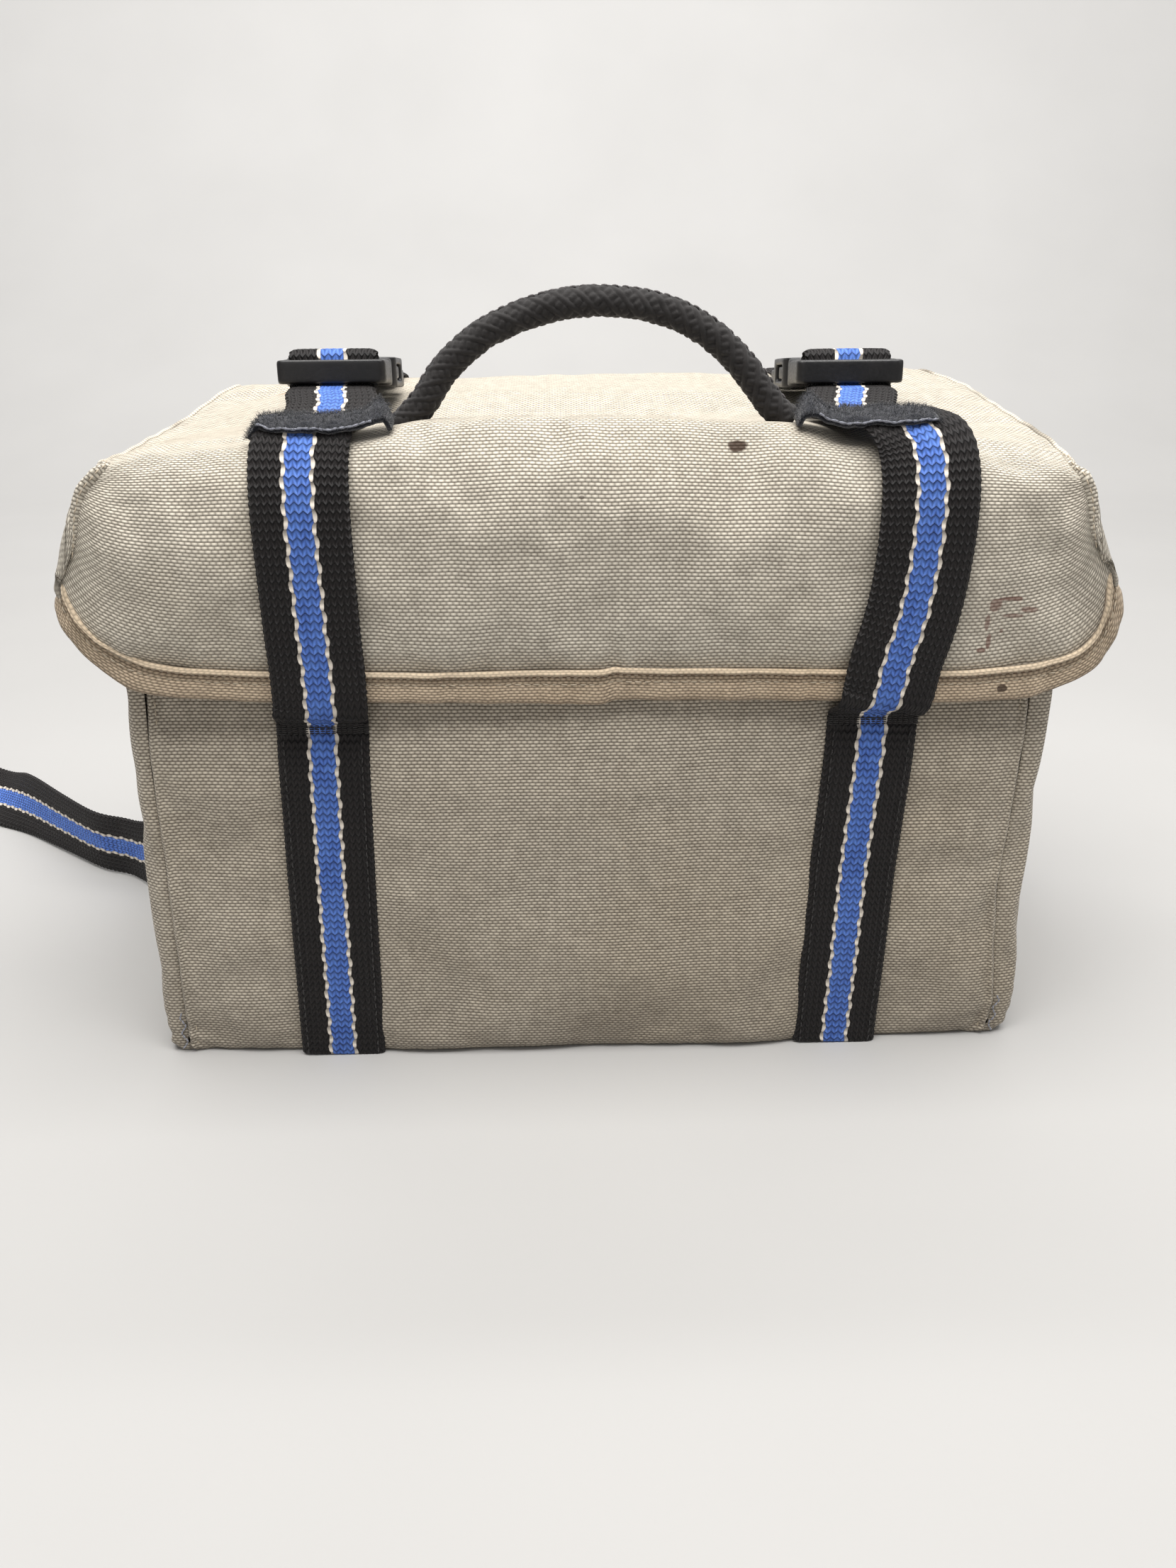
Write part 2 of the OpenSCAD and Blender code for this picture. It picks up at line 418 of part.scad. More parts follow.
front_panel();
back_panel();
left_side_panel();
right_side_panel();
bottom_panel();
front_foam();
back_foam();
left_side_foam();
right_side_foam();
bottom_board();
bottom_foam();
lining();
rim_binding();
left_lower_strap();
right_lower_strap();
left_back_strap();
right_back_strap();
left_strap_anchor();
right_strap_anchor();
hinge_strip();
shoulder_strap();
strap_slider();
lid_cover();
lid_left_skirt();
lid_right_skirt();
lid_board();
lid_padding();
flap_foam();
lid_lining();
lid_binding();
left_lid_strap();
right_lid_strap();
left_buckle_socket();
right_buckle_socket();
left_upper_strap();
right_upper_strap();
left_tail_strap();
right_tail_strap();
left_handle_band();
right_handle_band();
handle_grip();
left_buckle_plug();
right_buckle_plug();
left_buckle_prongs();
right_buckle_prongs();
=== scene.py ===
import bpy, math, json
import numpy as np
from mathutils import Vector, Matrix

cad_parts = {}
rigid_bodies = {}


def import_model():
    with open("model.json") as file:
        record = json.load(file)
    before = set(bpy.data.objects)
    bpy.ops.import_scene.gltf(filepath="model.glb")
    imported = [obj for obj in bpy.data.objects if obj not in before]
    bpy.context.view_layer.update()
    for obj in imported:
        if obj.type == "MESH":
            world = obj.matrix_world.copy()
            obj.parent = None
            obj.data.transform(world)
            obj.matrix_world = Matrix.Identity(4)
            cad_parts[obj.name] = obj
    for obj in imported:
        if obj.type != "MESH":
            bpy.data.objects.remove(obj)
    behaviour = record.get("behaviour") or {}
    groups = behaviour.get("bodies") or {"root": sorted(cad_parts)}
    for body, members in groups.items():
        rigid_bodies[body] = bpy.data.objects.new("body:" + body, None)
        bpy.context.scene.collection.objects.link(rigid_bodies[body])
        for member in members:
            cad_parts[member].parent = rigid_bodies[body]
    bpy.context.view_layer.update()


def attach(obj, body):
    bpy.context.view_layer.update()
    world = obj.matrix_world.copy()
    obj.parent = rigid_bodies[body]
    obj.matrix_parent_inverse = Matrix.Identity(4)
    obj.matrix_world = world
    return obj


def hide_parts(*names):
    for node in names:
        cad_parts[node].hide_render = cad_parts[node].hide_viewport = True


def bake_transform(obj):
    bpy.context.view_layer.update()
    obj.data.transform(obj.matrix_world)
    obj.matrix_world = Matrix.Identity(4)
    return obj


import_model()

MM = 0.001


# ------------------------------------------------------------------ camera and light
def camera():
    yaw, pitch, roll = (math.radians(a) for a in (1.418, 21.629, 0.559))
    f0 = np.array([math.sin(yaw), math.cos(yaw), 0.0])
    r0 = np.array([math.cos(yaw), -math.sin(yaw), 0.0])
    u0 = np.array([0.0, 0.0, 1.0])
    f = math.cos(pitch) * f0 - math.sin(pitch) * u0
    u = math.sin(pitch) * f0 + math.cos(pitch) * u0
    r = math.cos(roll) * r0 - math.sin(roll) * u
    u2 = math.sin(roll) * r0 + math.cos(roll) * u
    cam = bpy.data.cameras.new("camera")
    cam.lens, cam.sensor_width, cam.sensor_fit = 27.016, 36.0, "AUTO"
    cam.clip_start, cam.clip_end = 0.02, 30
    o = bpy.data.objects.new("camera", cam)
    m = Matrix.Identity(4)
    for k in range(3):
        m[k][0], m[k][1], m[k][2] = float(r[k]), float(u2[k]), float(-f[k])
    m[0][3], m[1][3], m[2][3] = -0.009479, -0.478942, 0.268061
    o.matrix_world = m
    bpy.context.scene.collection.objects.link(o)
    bpy.context.scene.camera = o


camera()


def area(name, loc, target, size, power, color=(1, 1, 1)):
    d = bpy.data.lights.new(name, "AREA")
    d.shape, d.size, d.size_y, d.energy, d.color = "RECTANGLE", size[0], size[1], power, color
    o = bpy.data.objects.new(name, d)
    o.location = loc
    o.rotation_euler = (Vector(target) - Vector(loc)).to_track_quat("-Z", "Y").to_euler()
    bpy.context.scene.collection.objects.link(o)


area("key_top", (0.0, -0.28, 1.35), (0, -0.02, 0.2), (1.5, 0.9), 34, (1.0, 0.985, 0.965))
area("front_fill", (-0.5, -1.5, 0.95), (0, 0, 0.12), (1.4, 1.0), 2.5, (1.0, 0.98, 0.97))
area("side_fill", (1.4, -0.7, 0.9), (0, 0, 0.12), (1.0, 1.0), 2.4, (0.97, 0.98, 1.0))
area("backdrop_wash", (0, 1.2, 2.2), (0, 2.6, 0.7), (4.5, 0.8), 105, (1.0, 0.99, 0.98))
world = bpy.data.worlds.new("studio")
world.use_nodes = True
world.node_tree.nodes["Background"].inputs[0].default_value = (0.93, 0.92, 0.91, 1)
world.node_tree.nodes["Background"].inputs[1].default_value = 0.22
bpy.context.scene.world = world
bpy.context.scene.view_settings.view_transform = "Standard"


# ------------------------------------------------------------------ mesh helpers (millimetres)
def build(name, V, F, uv=None, mat=None, smooth=True):
    me = bpy.data.meshes.new(name)
    V = np.asarray(V, float)
    me.from_pydata((V * MM).tolist(), [], [tuple(int(i) for i in f) for f in F])
    if uv is not None:
        lay = me.uv_layers.new(name="UVMap")
        idx = np.empty(len(me.loops), np.int32)
        me.loops.foreach_get("vertex_index", idx)
        lay.data.foreach_set("uv", np.asarray(uv, float)[idx].astype(np.float32).ravel())
    me.polygons.foreach_set("use_smooth", [smooth] * len(me.polygons))
    if mat:
        me.materials.append(mat)
    me.update()
    o = bpy.data.objects.new(name, me)
    bpy.context.scene.collection.objects.link(o)
    return o


def grid_faces(n, m, off=0, flip=False, wrap=False):
    i = np.arange(n - 1)[:, None]
    j = np.arange(m if wrap else m - 1)[None, :]
    a, b = i * m + j, i * m + (j + 1) % m
    F = np.stack([a, b, b + m, a + m], -1).reshape(-1, 4) + off
    return F[:, ::-1] if flip else F


def normals(P):
    N = np.cross(np.gradient(P, axis=1), np.gradient(P, axis=0))
    return N / (np.linalg.norm(N, axis=-1, keepdims=True) + 1e-12)


def cloth(name, P, UV, t, mat, flip=False):
    """closed thin sheet: its outer face is P, its inner face lies t below"""
    n, m = P.shape[:2]
    N = normals(P) * (-1 if flip else 1)
    Q = P - N * t
    V = np.concatenate([P.reshape(-1, 3), Q.reshape(-1, 3)])
    k = n * m
    F = [grid_faces(n, m, 0, flip), grid_faces(n, m, k, not flip)]
    top, bot = np.arange(m), (n - 1) * m + np.arange(m)
    lef, rig = np.arange(n) * m, np.arange(n) * m + m - 1
    for e, fl in ((top, False), (bot[::-1], False), (rig, False), (lef[::-1], False)):
        a, b = e[:-1], e[1:]
        q = np.stack([b, a, a + k, b + k], -1)
        F.append(q[:, ::-1] if flip else q)
    uv = np.concatenate([UV.reshape(-1, 2)] * 2)
    return build(name, V, np.concatenate(F), uv, mat)


def unit(v):
    return v / (np.linalg.norm(v, axis=-1, keepdims=True) + 1e-12)


def cat(K, n=12):
    K = np.asarray(K, float)
    out = []
    for i in range(len(K) - 1):
        a, b, c, d = K[max(i - 1, 0)], K[i], K[i + 1], K[min(i + 2, len(K) - 1)]
        t = np.linspace(0, 1, n, endpoint=False)[:, None]
        out.append(0.5 * (2 * b + (c - a) * t + (2 * a - 5 * b + 4 * c - d) * t * t + (3 * b - a - 3 * c + d) * t ** 3))
    out.append(K[-1:])
    return np.concatenate(out)


def resample(C, step):
    s = np.r_[0, np.cumsum(np.linalg.norm(np.diff(C[:, :3], axis=0), axis=1))]
    q = np.linspace(0, s[-1], max(2, int(round(s[-1] / step)) + 1))
    return np.stack([np.interp(q, s, C[:, k]) for k in range(C.shape[1])], 1), q


def lattice(x, y, sx, sy, seed):
    G = np.random.default_rng(seed).standard_normal((64, 64))
    X, Y = x / sx, y / sy
    i, j = np.floor(X).astype(int), np.floor(Y).astype(int)
    fx, fy = X - i, Y - j
    fx, fy = fx * fx * (3 - 2 * fx), fy * fy * (3 - 2 * fy)
    g = lambda a, b: G[a % 64, b % 64]
    return (g(i, j) * (1 - fx) + g(i + 1, j) * fx) * (1 - fy) + (g(i, j + 1) * (1 - fx) + g(i + 1, j + 1) * fx) * fy


def arc(P, axis):
    d = np.linalg.norm(np.diff(P, axis=axis), axis=-1)
    z = np.zeros_like(np.take(d, [0], axis=axis))
    return np.concatenate([z, np.cumsum(d, axis=axis)], axis=axis)


def sweep(name, C, A, B, prof, mat, u, v, wrap=True, caps=True):
    """prof (k,2) or (n,k,2) in the directions A and B about each point of C; u (k) and v (n) give the texture's place"""
    n = len(C)
    prof = np.asarray(prof, float)
    if prof.ndim == 2:
        prof = np.repeat(prof[None], n, 0)
    k = prof.shape[1]
    P = C[:, None, :] + prof[:, :, :1] * A[:, None, :] + prof[:, :, 1:] * B[:, None, :]
    UV = np.stack(np.broadcast_arrays(np.asarray(u, float)[None, :], np.asarray(v, float)[:, None]), -1)
    F = [list(f) for f in grid_faces(n, k, 0, False, wrap)]
    if caps:
        F.append(list(range(k))[::-1])
        F.append([(n - 1) * k + i for i in range(k)])
    return build(name, P.reshape(-1, 3), F, UV.reshape(-1, 2), mat)


def join(name, objs):
    for o in bpy.context.view_layer.objects:
        o.select_set(False)
    bpy.context.view_layer.update()
    for o in objs:
        o.select_set(True)
    bpy.context.view_layer.objects.active = objs[0]
    bpy.ops.object.join()
    objs[0].name = name
    return objs[0]


# ------------------------------------------------------------------ materials
class Nodes:
    def __init__(self, name):
        self.mat = bpy.data.materials.new(name)
        self.mat.use_nodes = True
        self.t = self.mat.node_tree
        self.b = self.t.nodes["Principled BSDF"]

    def new(self, kind):
        return self.t.nodes.new(kind)

    def put(self, sock, val):
        if isinstance(val, bpy.types.NodeSocket):
            self.t.links.new(val, sock)
        elif val is not None:
            if hasattr(sock.default_value, "__len__") and not hasattr(val, "__len__"):
                val = (val, val, val)
            if hasattr(val, "__len__") and len(val) == 3 and len(sock.default_value) == 4:
                val = (*val, 1)
            sock.default_value = val

    def m(self, op, a, b=None, c=None, clamp=False):
        n = self.new("ShaderNodeMath")
        n.operation, n.use_clamp = op, clamp
        for s, v in zip(n.inputs, (a, b, c)):
            self.put(s, v)
        return n.outputs[0]

    def uv(self):
        n = self.new("ShaderNodeUVMap")
        n.uv_map = "UVMap"
        s = self.new("ShaderNodeSeparateXYZ")
        self.put(s.inputs[0], n.outputs[0])
        return n.outputs[0], s.outputs[0], s.outputs[1]

    def obj(self):
        return self.new("ShaderNodeTexCoord").outputs["Object"]

    def xyz(self, x, y, z=0.0):
        n = self.new("ShaderNodeCombineXYZ")
        for s, v in zip(n.inputs, (x, y, z)):
            self.put(s, v)
        return n.outputs[0]

    def noise(self, vec, scale, detail=3, rough=0.55, fac=True):
        n = self.new("ShaderNodeTexNoise")
        self.put(n.inputs["Vector"], vec)
        n.inputs["Scale"].default_value = scale
        n.inputs["Detail"].default_value = detail
        n.inputs["Roughness"].default_value = rough
        return n.outputs[0]

    def white(self, vec):
        n = self.new("ShaderNodeTexWhiteNoise")
        n.noise_dimensions = "3D"
        self.put(n.inputs[0], vec)
        return n.outputs[0]

    def ramp(self, x, a, b, lo=0.0, hi=1.0):
        n = self.new("ShaderNodeMapRange")
        n.clamp = True
        n.interpolation_type = "SMOOTHSTEP"
        for s, v in zip(n.inputs, (x, a, b, lo, hi)):
            self.put(s, v)
        return n.outputs[0]

    def mix(self, f, a, b, mode="MIX"):
        n = self.new("ShaderNodeMix")
        n.data_type, n.blend_type = "RGBA", mode
        self.put(n.inputs[0], f)
        self.put(n.inputs[6], a)
        self.put(n.inputs[7], b)
        return n.outputs[2]

    def bump(self, h, dist, strength=1.0, normal=None):
        n = self.new("ShaderNodeBump")
        self.put(n.inputs["Height"], h)
        n.inputs["Distance"].default_value = dist
        n.inputs["Strength"].default_value = strength
        if normal is not None:
            self.put(n.inputs["Normal"], normal)
        return n.outputs[0]

    def finish(self, color, rough=0.8, normal=None, sheen=0.0, spec=0.5):
        self.put(self.b.inputs["Base Color"], color)
        self.put(self.b.inputs["Roughness"], rough)
        if normal is not None:
            self.put(self.b.inputs["Normal"], normal)
        if sheen:
            self.b.inputs["Sheen Weight"].default_value = sheen
            self.b.inputs["Sheen Roughness"].default_value = 0.5
        self.b.inputs["Specular IOR Level"].default_value = spec
        return self.mat


def weave(name, light, dark, dirt, pu=1.06, pv=1.22, depth=0.00034, spots=(), tint=1.0, tape=False):
    """coarse plain weave with pale weft floats in staggered rows"""
    g = Nodes(name)
    _, u, v = g.uv()
    ob = g.obj()
    v_true = v
    # slow wander of the yarns, so that the rows aren't ruled
    w1 = g.noise(ob, 22, 2)
    w2 = g.noise(ob, 31, 2)
    u = g.m("ADD", u, g.m("MULTIPLY", w1, 1.6))
    v = g.m("ADD", v, g.m("MULTIPLY", w2, 1.6))
    V = g.m("DIVIDE", v, pv)
    iv = g.m("FLOOR", V)
    U = g.m("ADD", g.m("DIVIDE", u, 2 * pu), g.m("MULTIPLY", g.m("FLOORED_MODULO", iv, 2.0), 0.5))
    iu = g.m("FLOOR", U)
    fu, fv = g.m("FRACT", U), g.m("FRACT", V)
    su, sv = g.m("SINE", g.m("MULTIPLY", fu, math.pi)), g.m("SINE", g.m("MULTIPLY", fv, math.pi))
    float_ = g.m("MULTIPLY", g.m("POWER", su, 0.62), g.m("POWER", sv, 0.55))
    gap = g.m("MULTIPLY", g.m("POWER", g.m("SUBTRACT", 1.0, su), 2.0), g.m("MULTIPLY", sv, 0.30))
    h = g.m("ADD", float_, gap)
    yarn_v = g.noise(g.xyz(g.m("MULTIPLY", u, 0.09), g.m("MULTIPLY", iv, 7.3), 1.0), 1.0, 2)
    yarn_u = g.noise(g.xyz(g.m("MULTIPLY", iu, 5.9), g.m("MULTIPLY", v, 0.07), 4.0), 1.0, 2)
    cell = g.white(g.xyz(iu, iv, 2.0))
    f = g.m("MULTIPLY", g.m("POWER", h, 1.5), g.m("ADD", 0.84, g.m("MULTIPLY", cell, 0.26)))
    f = g.m("ADD", f, g.m("MULTIPLY", g.m("SUBTRACT", g.m("ADD", yarn_u, yarn_v), 1.0), 0.30), clamp=True)
    col = g.mix(f, dark, light)
    if tape:
        # raised piping painted lighter (painted highlight), a dark line painted in the groove below it (painted shade),
        # and darker towards the tape's outer edge
        col = g.mix(g.ramp(v_true, 1.75, 1.45, 0.0, 0.36), col, (0.72, 0.60, 0.44))
        line = g.m("MULTIPLY", g.ramp(v_true, 1.55, 1.85, 0.0, 1.0), g.ramp(v_true, 2.7, 2.2, 0.0, 1.0))
        col = g.mix(g.m("MULTIPLY", line, 0.75), col, (0.13, 0.075, 0.045))
        col = g.mix(g.ramp(v_true, 9.6, 11.4, 0.0, 0.45), col, (0.20, 0.145, 0.095))
    # faint warm and cool areas, grime low down and in worn patches
    big = g.noise(ob, 7.0, 4, 0.6)
    col = g.mix(g.ramp(big, 0.42, 0.72, 0.0, 0.5 * tint), col, dirt, "MULTIPLY")
    pos = g.new("ShaderNodeSeparateXYZ")
    g.put(pos.inputs[0], ob)
    fleck = g.ramp(g.noise(ob, 420, 2, 0.6), 0.70, 0.80, 0.0, 0.22)
    col = g.mix(fleck, col, (0.36, 0.22, 0.11))
    low = g.m("MULTIPLY", g.ramp(pos.outputs[2], 0.06, 0.0, 0.0, 1.0), g.ramp(g.noise(ob, 40, 4, 0.6), 0.3, 0.7, 0.25, 1.0))
    col = g.mix(g.m("MULTIPLY", low, 0.34), col, (0.10, 0.082, 0.062))
    for (x, y, z, rx, rz, strength, colour) in spots:
        dx = g.m("DIVIDE", g.m("SUBTRACT", pos.outputs[0], x * MM), rx * MM)
        dz = g.m("DIVIDE", g.m("SUBTRACT", pos.outputs[2], z * MM), rz * MM)
        dy = g.m("DIVIDE", g.m("SUBTRACT", pos.outputs[1], y * MM), 6 * MM)
        d = g.m("ADD", g.m("ADD", g.m("MULTIPLY", dx, dx), g.m("MULTIPLY", dz, dz)), g.m("MULTIPLY", dy, dy))
        d = g.m("ADD", d, g.m("MULTIPLY", g.m("SUBTRACT", g.noise(ob, 190, 3), 0.5), 1.7))
        col = g.mix(g.ramp(d, 1.05, 0.55, 0.0, strength), col, colour)
    hh = g.m("ADD", g.m("MULTIPLY", h, 1.0), g.m("MULTIPLY", cell, 0.12))
    nrm = g.bump(hh, depth, 0.9, g.bump(g.noise(ob, 900, 2), 0.0001, 0.5))
    rough = g.m("ADD", 0.66, g.m("MULTIPLY", g.m("SUBTRACT", 1.0, f), 0.25))
    return g.finish(col, rough, nrm, sheen=0.12, spec=0.42)


BROWN = (0.045, 0.022, 0.010)
RUST = (0.13, 0.042, 0.028)
fabric = weave("khaki_weave", (0.62, 0.555, 0.45), (0.115, 0.093, 0.069), (0.86, 0.81, 0.73))
SPOTS = [(50.5, -84, 228.6, 3.6, 2.4, 0.97, BROWN), (143.5, -92, 178.6, 4.6, 1.0, 0.72, RUST), (138.6, -92, 176.6, 2.6, 2.6, 0.62, RUST), (150.5, -92, 174.8, 3.4, 1.1, 0.62, RUST),
         (145.0, -92, 172.6, 3.6, 0.9, 0.55, RUST), (136.4, -92, 170.2, 1.0, 3.0, 0.6, RUST), (137.8, -92, 163.2, 1.0, 3.2, 0.66, RUST), (135.6, -92, 160.6, 2.0, 1.0, 0.7, RUST), (142.0, -92, 167.2, 0.9, 0.9, 0.5, RUST),
         (-1.0, -92, 214, 1.0, 0.7, 0.6, BROWN), (-126, 56, 238, 7.0, 3.0, 0.45, (0.36, 0.20, 0.10)), (-136, 50, 236, 4.0, 2.6, 0.40, (0.36, 0.20, 0.10))]
# the lid's copy of the weave is painted lighter than the body's: painted top light on the lid and flap, with the body
# front in shade
lid_fabric_painted_lit = weave("khaki_weave_lid_painted_lit", (0.76, 0.70, 0.59), (0.17, 0.145, 0.112), (0.90, 0.86, 0.78), spots=SPOTS)
hem_fabric = weave("tan_tape_weave", (0.66, 0.53, 0.38), (0.17, 0.125, 0.085), (0.80, 0.70, 0.58), pu=1.0, pv=1.06, depth=0.00028, tint=1.3, tape=True,
                   spots=[(144.3, -91, 147, 2.0, 1.6, 0.9, BROWN)])
lining_fabric = weave("dark_lining", (0.05, 0.05, 0.055), (0.018, 0.018, 0.02), (0.9, 0.9, 0.9), pu=0.6, pv=0.6, depth=0.0001)


def webbing_mat(name="striped_webbing", plain=False, tired=0.0):
    g = Nodes(name)
    _, u, v = g.uv()
    ob = g.obj()
    v = g.m("ADD", v, g.m("MULTIPLY", g.noise(ob, 40, 2), 1.1))
    row = 2.72

    def ribs(pitch, amp, power):
        t = g.m("MULTIPLY", g.m("ABSOLUTE", g.m("SUBTRACT", g.m("FRACT", g.m("DIVIDE", u, pitch)), 0.5)), 2.0)
        z = g.m("ADD", g.m("DIVIDE", v, row), g.m("MULTIPLY", t, amp))
        f = g.m("FRACT", z)
        s = g.m("POWER", g.m("SINE", g.m("MULTIPLY", f, math.pi)), power)
        col = g.m("SINE", g.m("MULTIPLY", g.m("FRACT", g.m("DIVIDE", u, pitch * 0.5)), math.pi))
        return g.m("MULTIPLY", s, g.m("ADD", 0.62, g.m("MULTIPLY", col, 0.38))), g.m("FLOOR", z)

    hb, ib = ribs(2.18, 0.42, 0.75)
    # black ribs lighter on top, darker in the valleys between them: painted shade in the valleys
    black = g.mix(hb, (0.0010, 0.0009, 0.0009), (0.0165, 0.0138, 0.0138))
    fuzz = g.ramp(g.noise(ob, 130, 4, 0.65), 0.42, 0.85, 0.0, 0.20 + tired)
    black = g.mix(fuzz, black, (0.032, 0.027, 0.025))
    if plain:
        nrm = g.bump(hb, 0.0006, 1.0)
        return g.finish(black, 0.62, nrm, sheen=0.15, spec=0.4)
    hu, iu = ribs(2.75, 0.40, 0.6)
    var = g.white(g.xyz(iu, g.m("FLOOR", g.m("DIVIDE", u, 2.75)), 0.0))
    # blue ribs likewise lighter on top, darker in their valleys: painted shade
    blue = g.mix(hu, (0.010, 0.022, 0.10), (0.085, 0.19, 0.62))
    blue = g.mix(g.m("MULTIPLY", var, 0.3), blue, (0.16, 0.32, 0.82))
    au = g.m("ABSOLUTE", u)
    side = g.m("SIGN", u)
    wave = g.m("MULTIPLY", g.m("SINE", g.m("ADD", g.m("MULTIPLY", v, 2 * math.pi / (row * 3)), g.m("MULTIPLY", side, 1.2))), 0.34)
    d = g.m("SUBTRACT", g.m("SUBTRACT", au, 4.75), wave)
    lobe = g.m("SINE", g.m("MULTIPLY", g.m("FRACT", g.m("ADD", g.m("DIVIDE", v, row * 1.5), g.m("MULTIPLY", side, 0.25))), math.pi))
    width = g.m("ADD", 0.34, g.m("MULTIPLY", g.m("POWER", lobe, 0.6), 0.40))
    chain = g.ramp(g.m("SUBTRACT", g.m("ABSOLUTE", d), width), 0.10, -0.10, 0.0, 1.0)
    inner = g.ramp(au, 4.75, 4.45, 0.0, 1.0)
    col = g.mix(inner, black, blue)
    # chain loops lighter at their middles, darker where they thin between loops: painted shade
    white = g.mix(g.m("POWER", lobe, 0.5), (0.16, 0.13, 0.11), (0.70, 0.64, 0.56))
    col = g.mix(chain, col, white)
    h = g.m("ADD", g.m("MULTIPLY", hb, g.m("SUBTRACT", 1.0, inner)), g.m("MULTIPLY", hu, inner))
    h = g.m("ADD", g.m("MULTIPLY", h, g.m("SUBTRACT", 1.0, chain)), g.m("MULTIPLY", g.m("MULTIPLY", lobe, chain), 1.15))
    nrm = g.bump(h, 0.00085, 1.0)
    return g.finish(col, 0.62, nrm, sheen=0.03, spec=0.26)


webbing = webbing_mat()
webbing_plain = webbing_mat("plain_webbing", plain=True)


def plastic_mat():
    g = Nodes("black_plastic_moulded")
    ob = g.obj()
    n = g.noise(ob, 60, 4, 0.6)
    col = g.mix(g.ramp(n, 0.4, 0.8, 0.0, 0.6), (0.010, 0.010, 0.011), (0.024, 0.022, 0.022))
    geo = g.new("ShaderNodeNewGeometry")
    edge = g.ramp(geo.outputs["Pointiness"], 0.52, 0.60, 0.0, 0.55)
    col = g.mix(edge, col, (0.085, 0.082, 0.080))
    scr = g.ramp(g.noise(g.m("MULTIPLY", 1.0, 1.0) if False else ob, 900, 3, 0.7), 0.3, 0.7, 0.30, 0.46)
    return g.finish(col, scr, g.bump(g.noise(ob, 1600, 2), 0.00004, 0.6), spec=0.5)


plastic = plastic_mat()


def fuzz_mat():
    g = Nodes("hook_and_loop_pile")
    ob = g.obj()
    n = g.noise(ob, 260, 4, 0.7)
    col = g.mix(n, (0.003, 0.0035, 0.006), (0.018, 0.021, 0.032))
    return g.finish(col, 0.95, g.bump(g.noise(ob, 700, 4, 0.8), 0.0007, 1.0), sheen=0.4, spec=0.15)


fuzz = fuzz_mat()


def thread_mat(name, c):
    g = Nodes(name)
    ob = g.obj()
    return g.finish(g.mix(g.noise(ob, 900, 2), tuple(0.6 * x for x in c), c), 0.75, g.bump(g.noise(ob, 2500, 2), 0.0001, 0.8), sheen=0.2, spec=0.3)


thread_tan = thread_mat("tan_thread", (0.58, 0.49, 0.37))
thread_black = thread_mat("black_thread", (0.030, 0.027, 0.026))
thread_pale = thread_mat("pale_selvage", (0.30, 0.31, 0.36))


# ------------------------------------------------------------------ webbing
ROW = 2.72


def strap(name, C, S, v0=0.0, w=32.5, t=2.2, step=0.62, mat=None, ribs=0.30, sag=0.0):
    """flat ribbed webbing along C; S is the direction of its width"""
    C, S = np.asarray(C, float), np.asarray(S, float)
    if S.ndim == 1:
        S = np.repeat(S[None], len(C), 0)
    Q, s = resample(np.concatenate([C, S], 1), step)
    C, S = Q[:, :3], Q[:, 3:]
    T = unit(np.gradient(C, axis=0))
    S = unit(S - T * (S * T).sum(1, keepdims=True))
    N = unit(np.cross(T, S))
    k = 33
    a = np.linspace(-1, 1, k)
    a = np.sign(a) * np.abs(a) ** 0.9
    v = s + v0
    half = w / 2 - 0.35 + 0.38 * np.abs(np.sin(np.pi * v / ROW))[:, None]
    U = a[None, :] * half
    rnd = np.sqrt(np.clip(1 - np.abs(a) ** 10, 0, 1))
    tri = np.abs(np.mod(U / 2.18, 1) - 0.5) * 2
    z = np.mod(v[:, None] / ROW + tri * 0.42, 1)
    rib = np.sin(np.pi * z) ** 0.75 * ribs * np.clip((1 - np.abs(a)) * 9, 0, 1)[None]
    top = t / 2 * rnd[None] - ribs * 0.5 + rib
    bot = -t / 2 * rnd[None] + ribs * 0.5 - rib
    top[:, [0, -1]] = 0.1
    bot[:, [0, -1]] = -0.1
    prof = np.concatenate([np.stack([U, top], -1), np.stack([U, bot], -1)[:, ::-1]], 1)
    u = np.concatenate([a * w / 2, (a * w / 2)[::-1]])
    return sweep(name, C, S, N, prof, mat or webbing, u, v), s[-1]


def stitches(name, P, N, pitch, length, r, mat, lift=0.2, seed=1):
    """thread stitches set along the line P, standing a little out of the cloth"""
    Q, s = resample(np.concatenate([np.asarray(P, float), np.broadcast_to(np.asarray(N, float), np.shape(P))], 1), pitch)
    rng = np.random.default_rng(seed)
    V, F, o = [], [], 0
    T = unit(np.gradient(Q[:, :3], axis=0))
    ang = np.linspace(0, 2 * np.pi, 6, endpoint=False)
    for p, t, n in zip(Q[:, :3], T, unit(Q[:, 3:])):
        b = np.cross(t, n)
        t = unit(t + b * rng.normal(0, 0.08))
        b = np.cross(t, n)
        for q, rr, h in ((-0.5, 0.25, -0.25), (-0.34, 0.9, 0.10), (0, 1.0, 0.22), (0.34, 0.9, 0.10), (0.5, 0.25, -0.25)):
            c = p + t * q * length + n * (lift + h * r * 2)
            V.append(c + (np.cos(ang)[:, None] * b + np.sin(ang)[:, None] * n) * r * rr)
        F.append(grid_faces(5, 6, o, False, True))
        o += 30
    return build(name, np.concatenate(V), np.concatenate(F), None, mat)


def ride(body, *objs):
    for o in objs:
        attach(o, body)


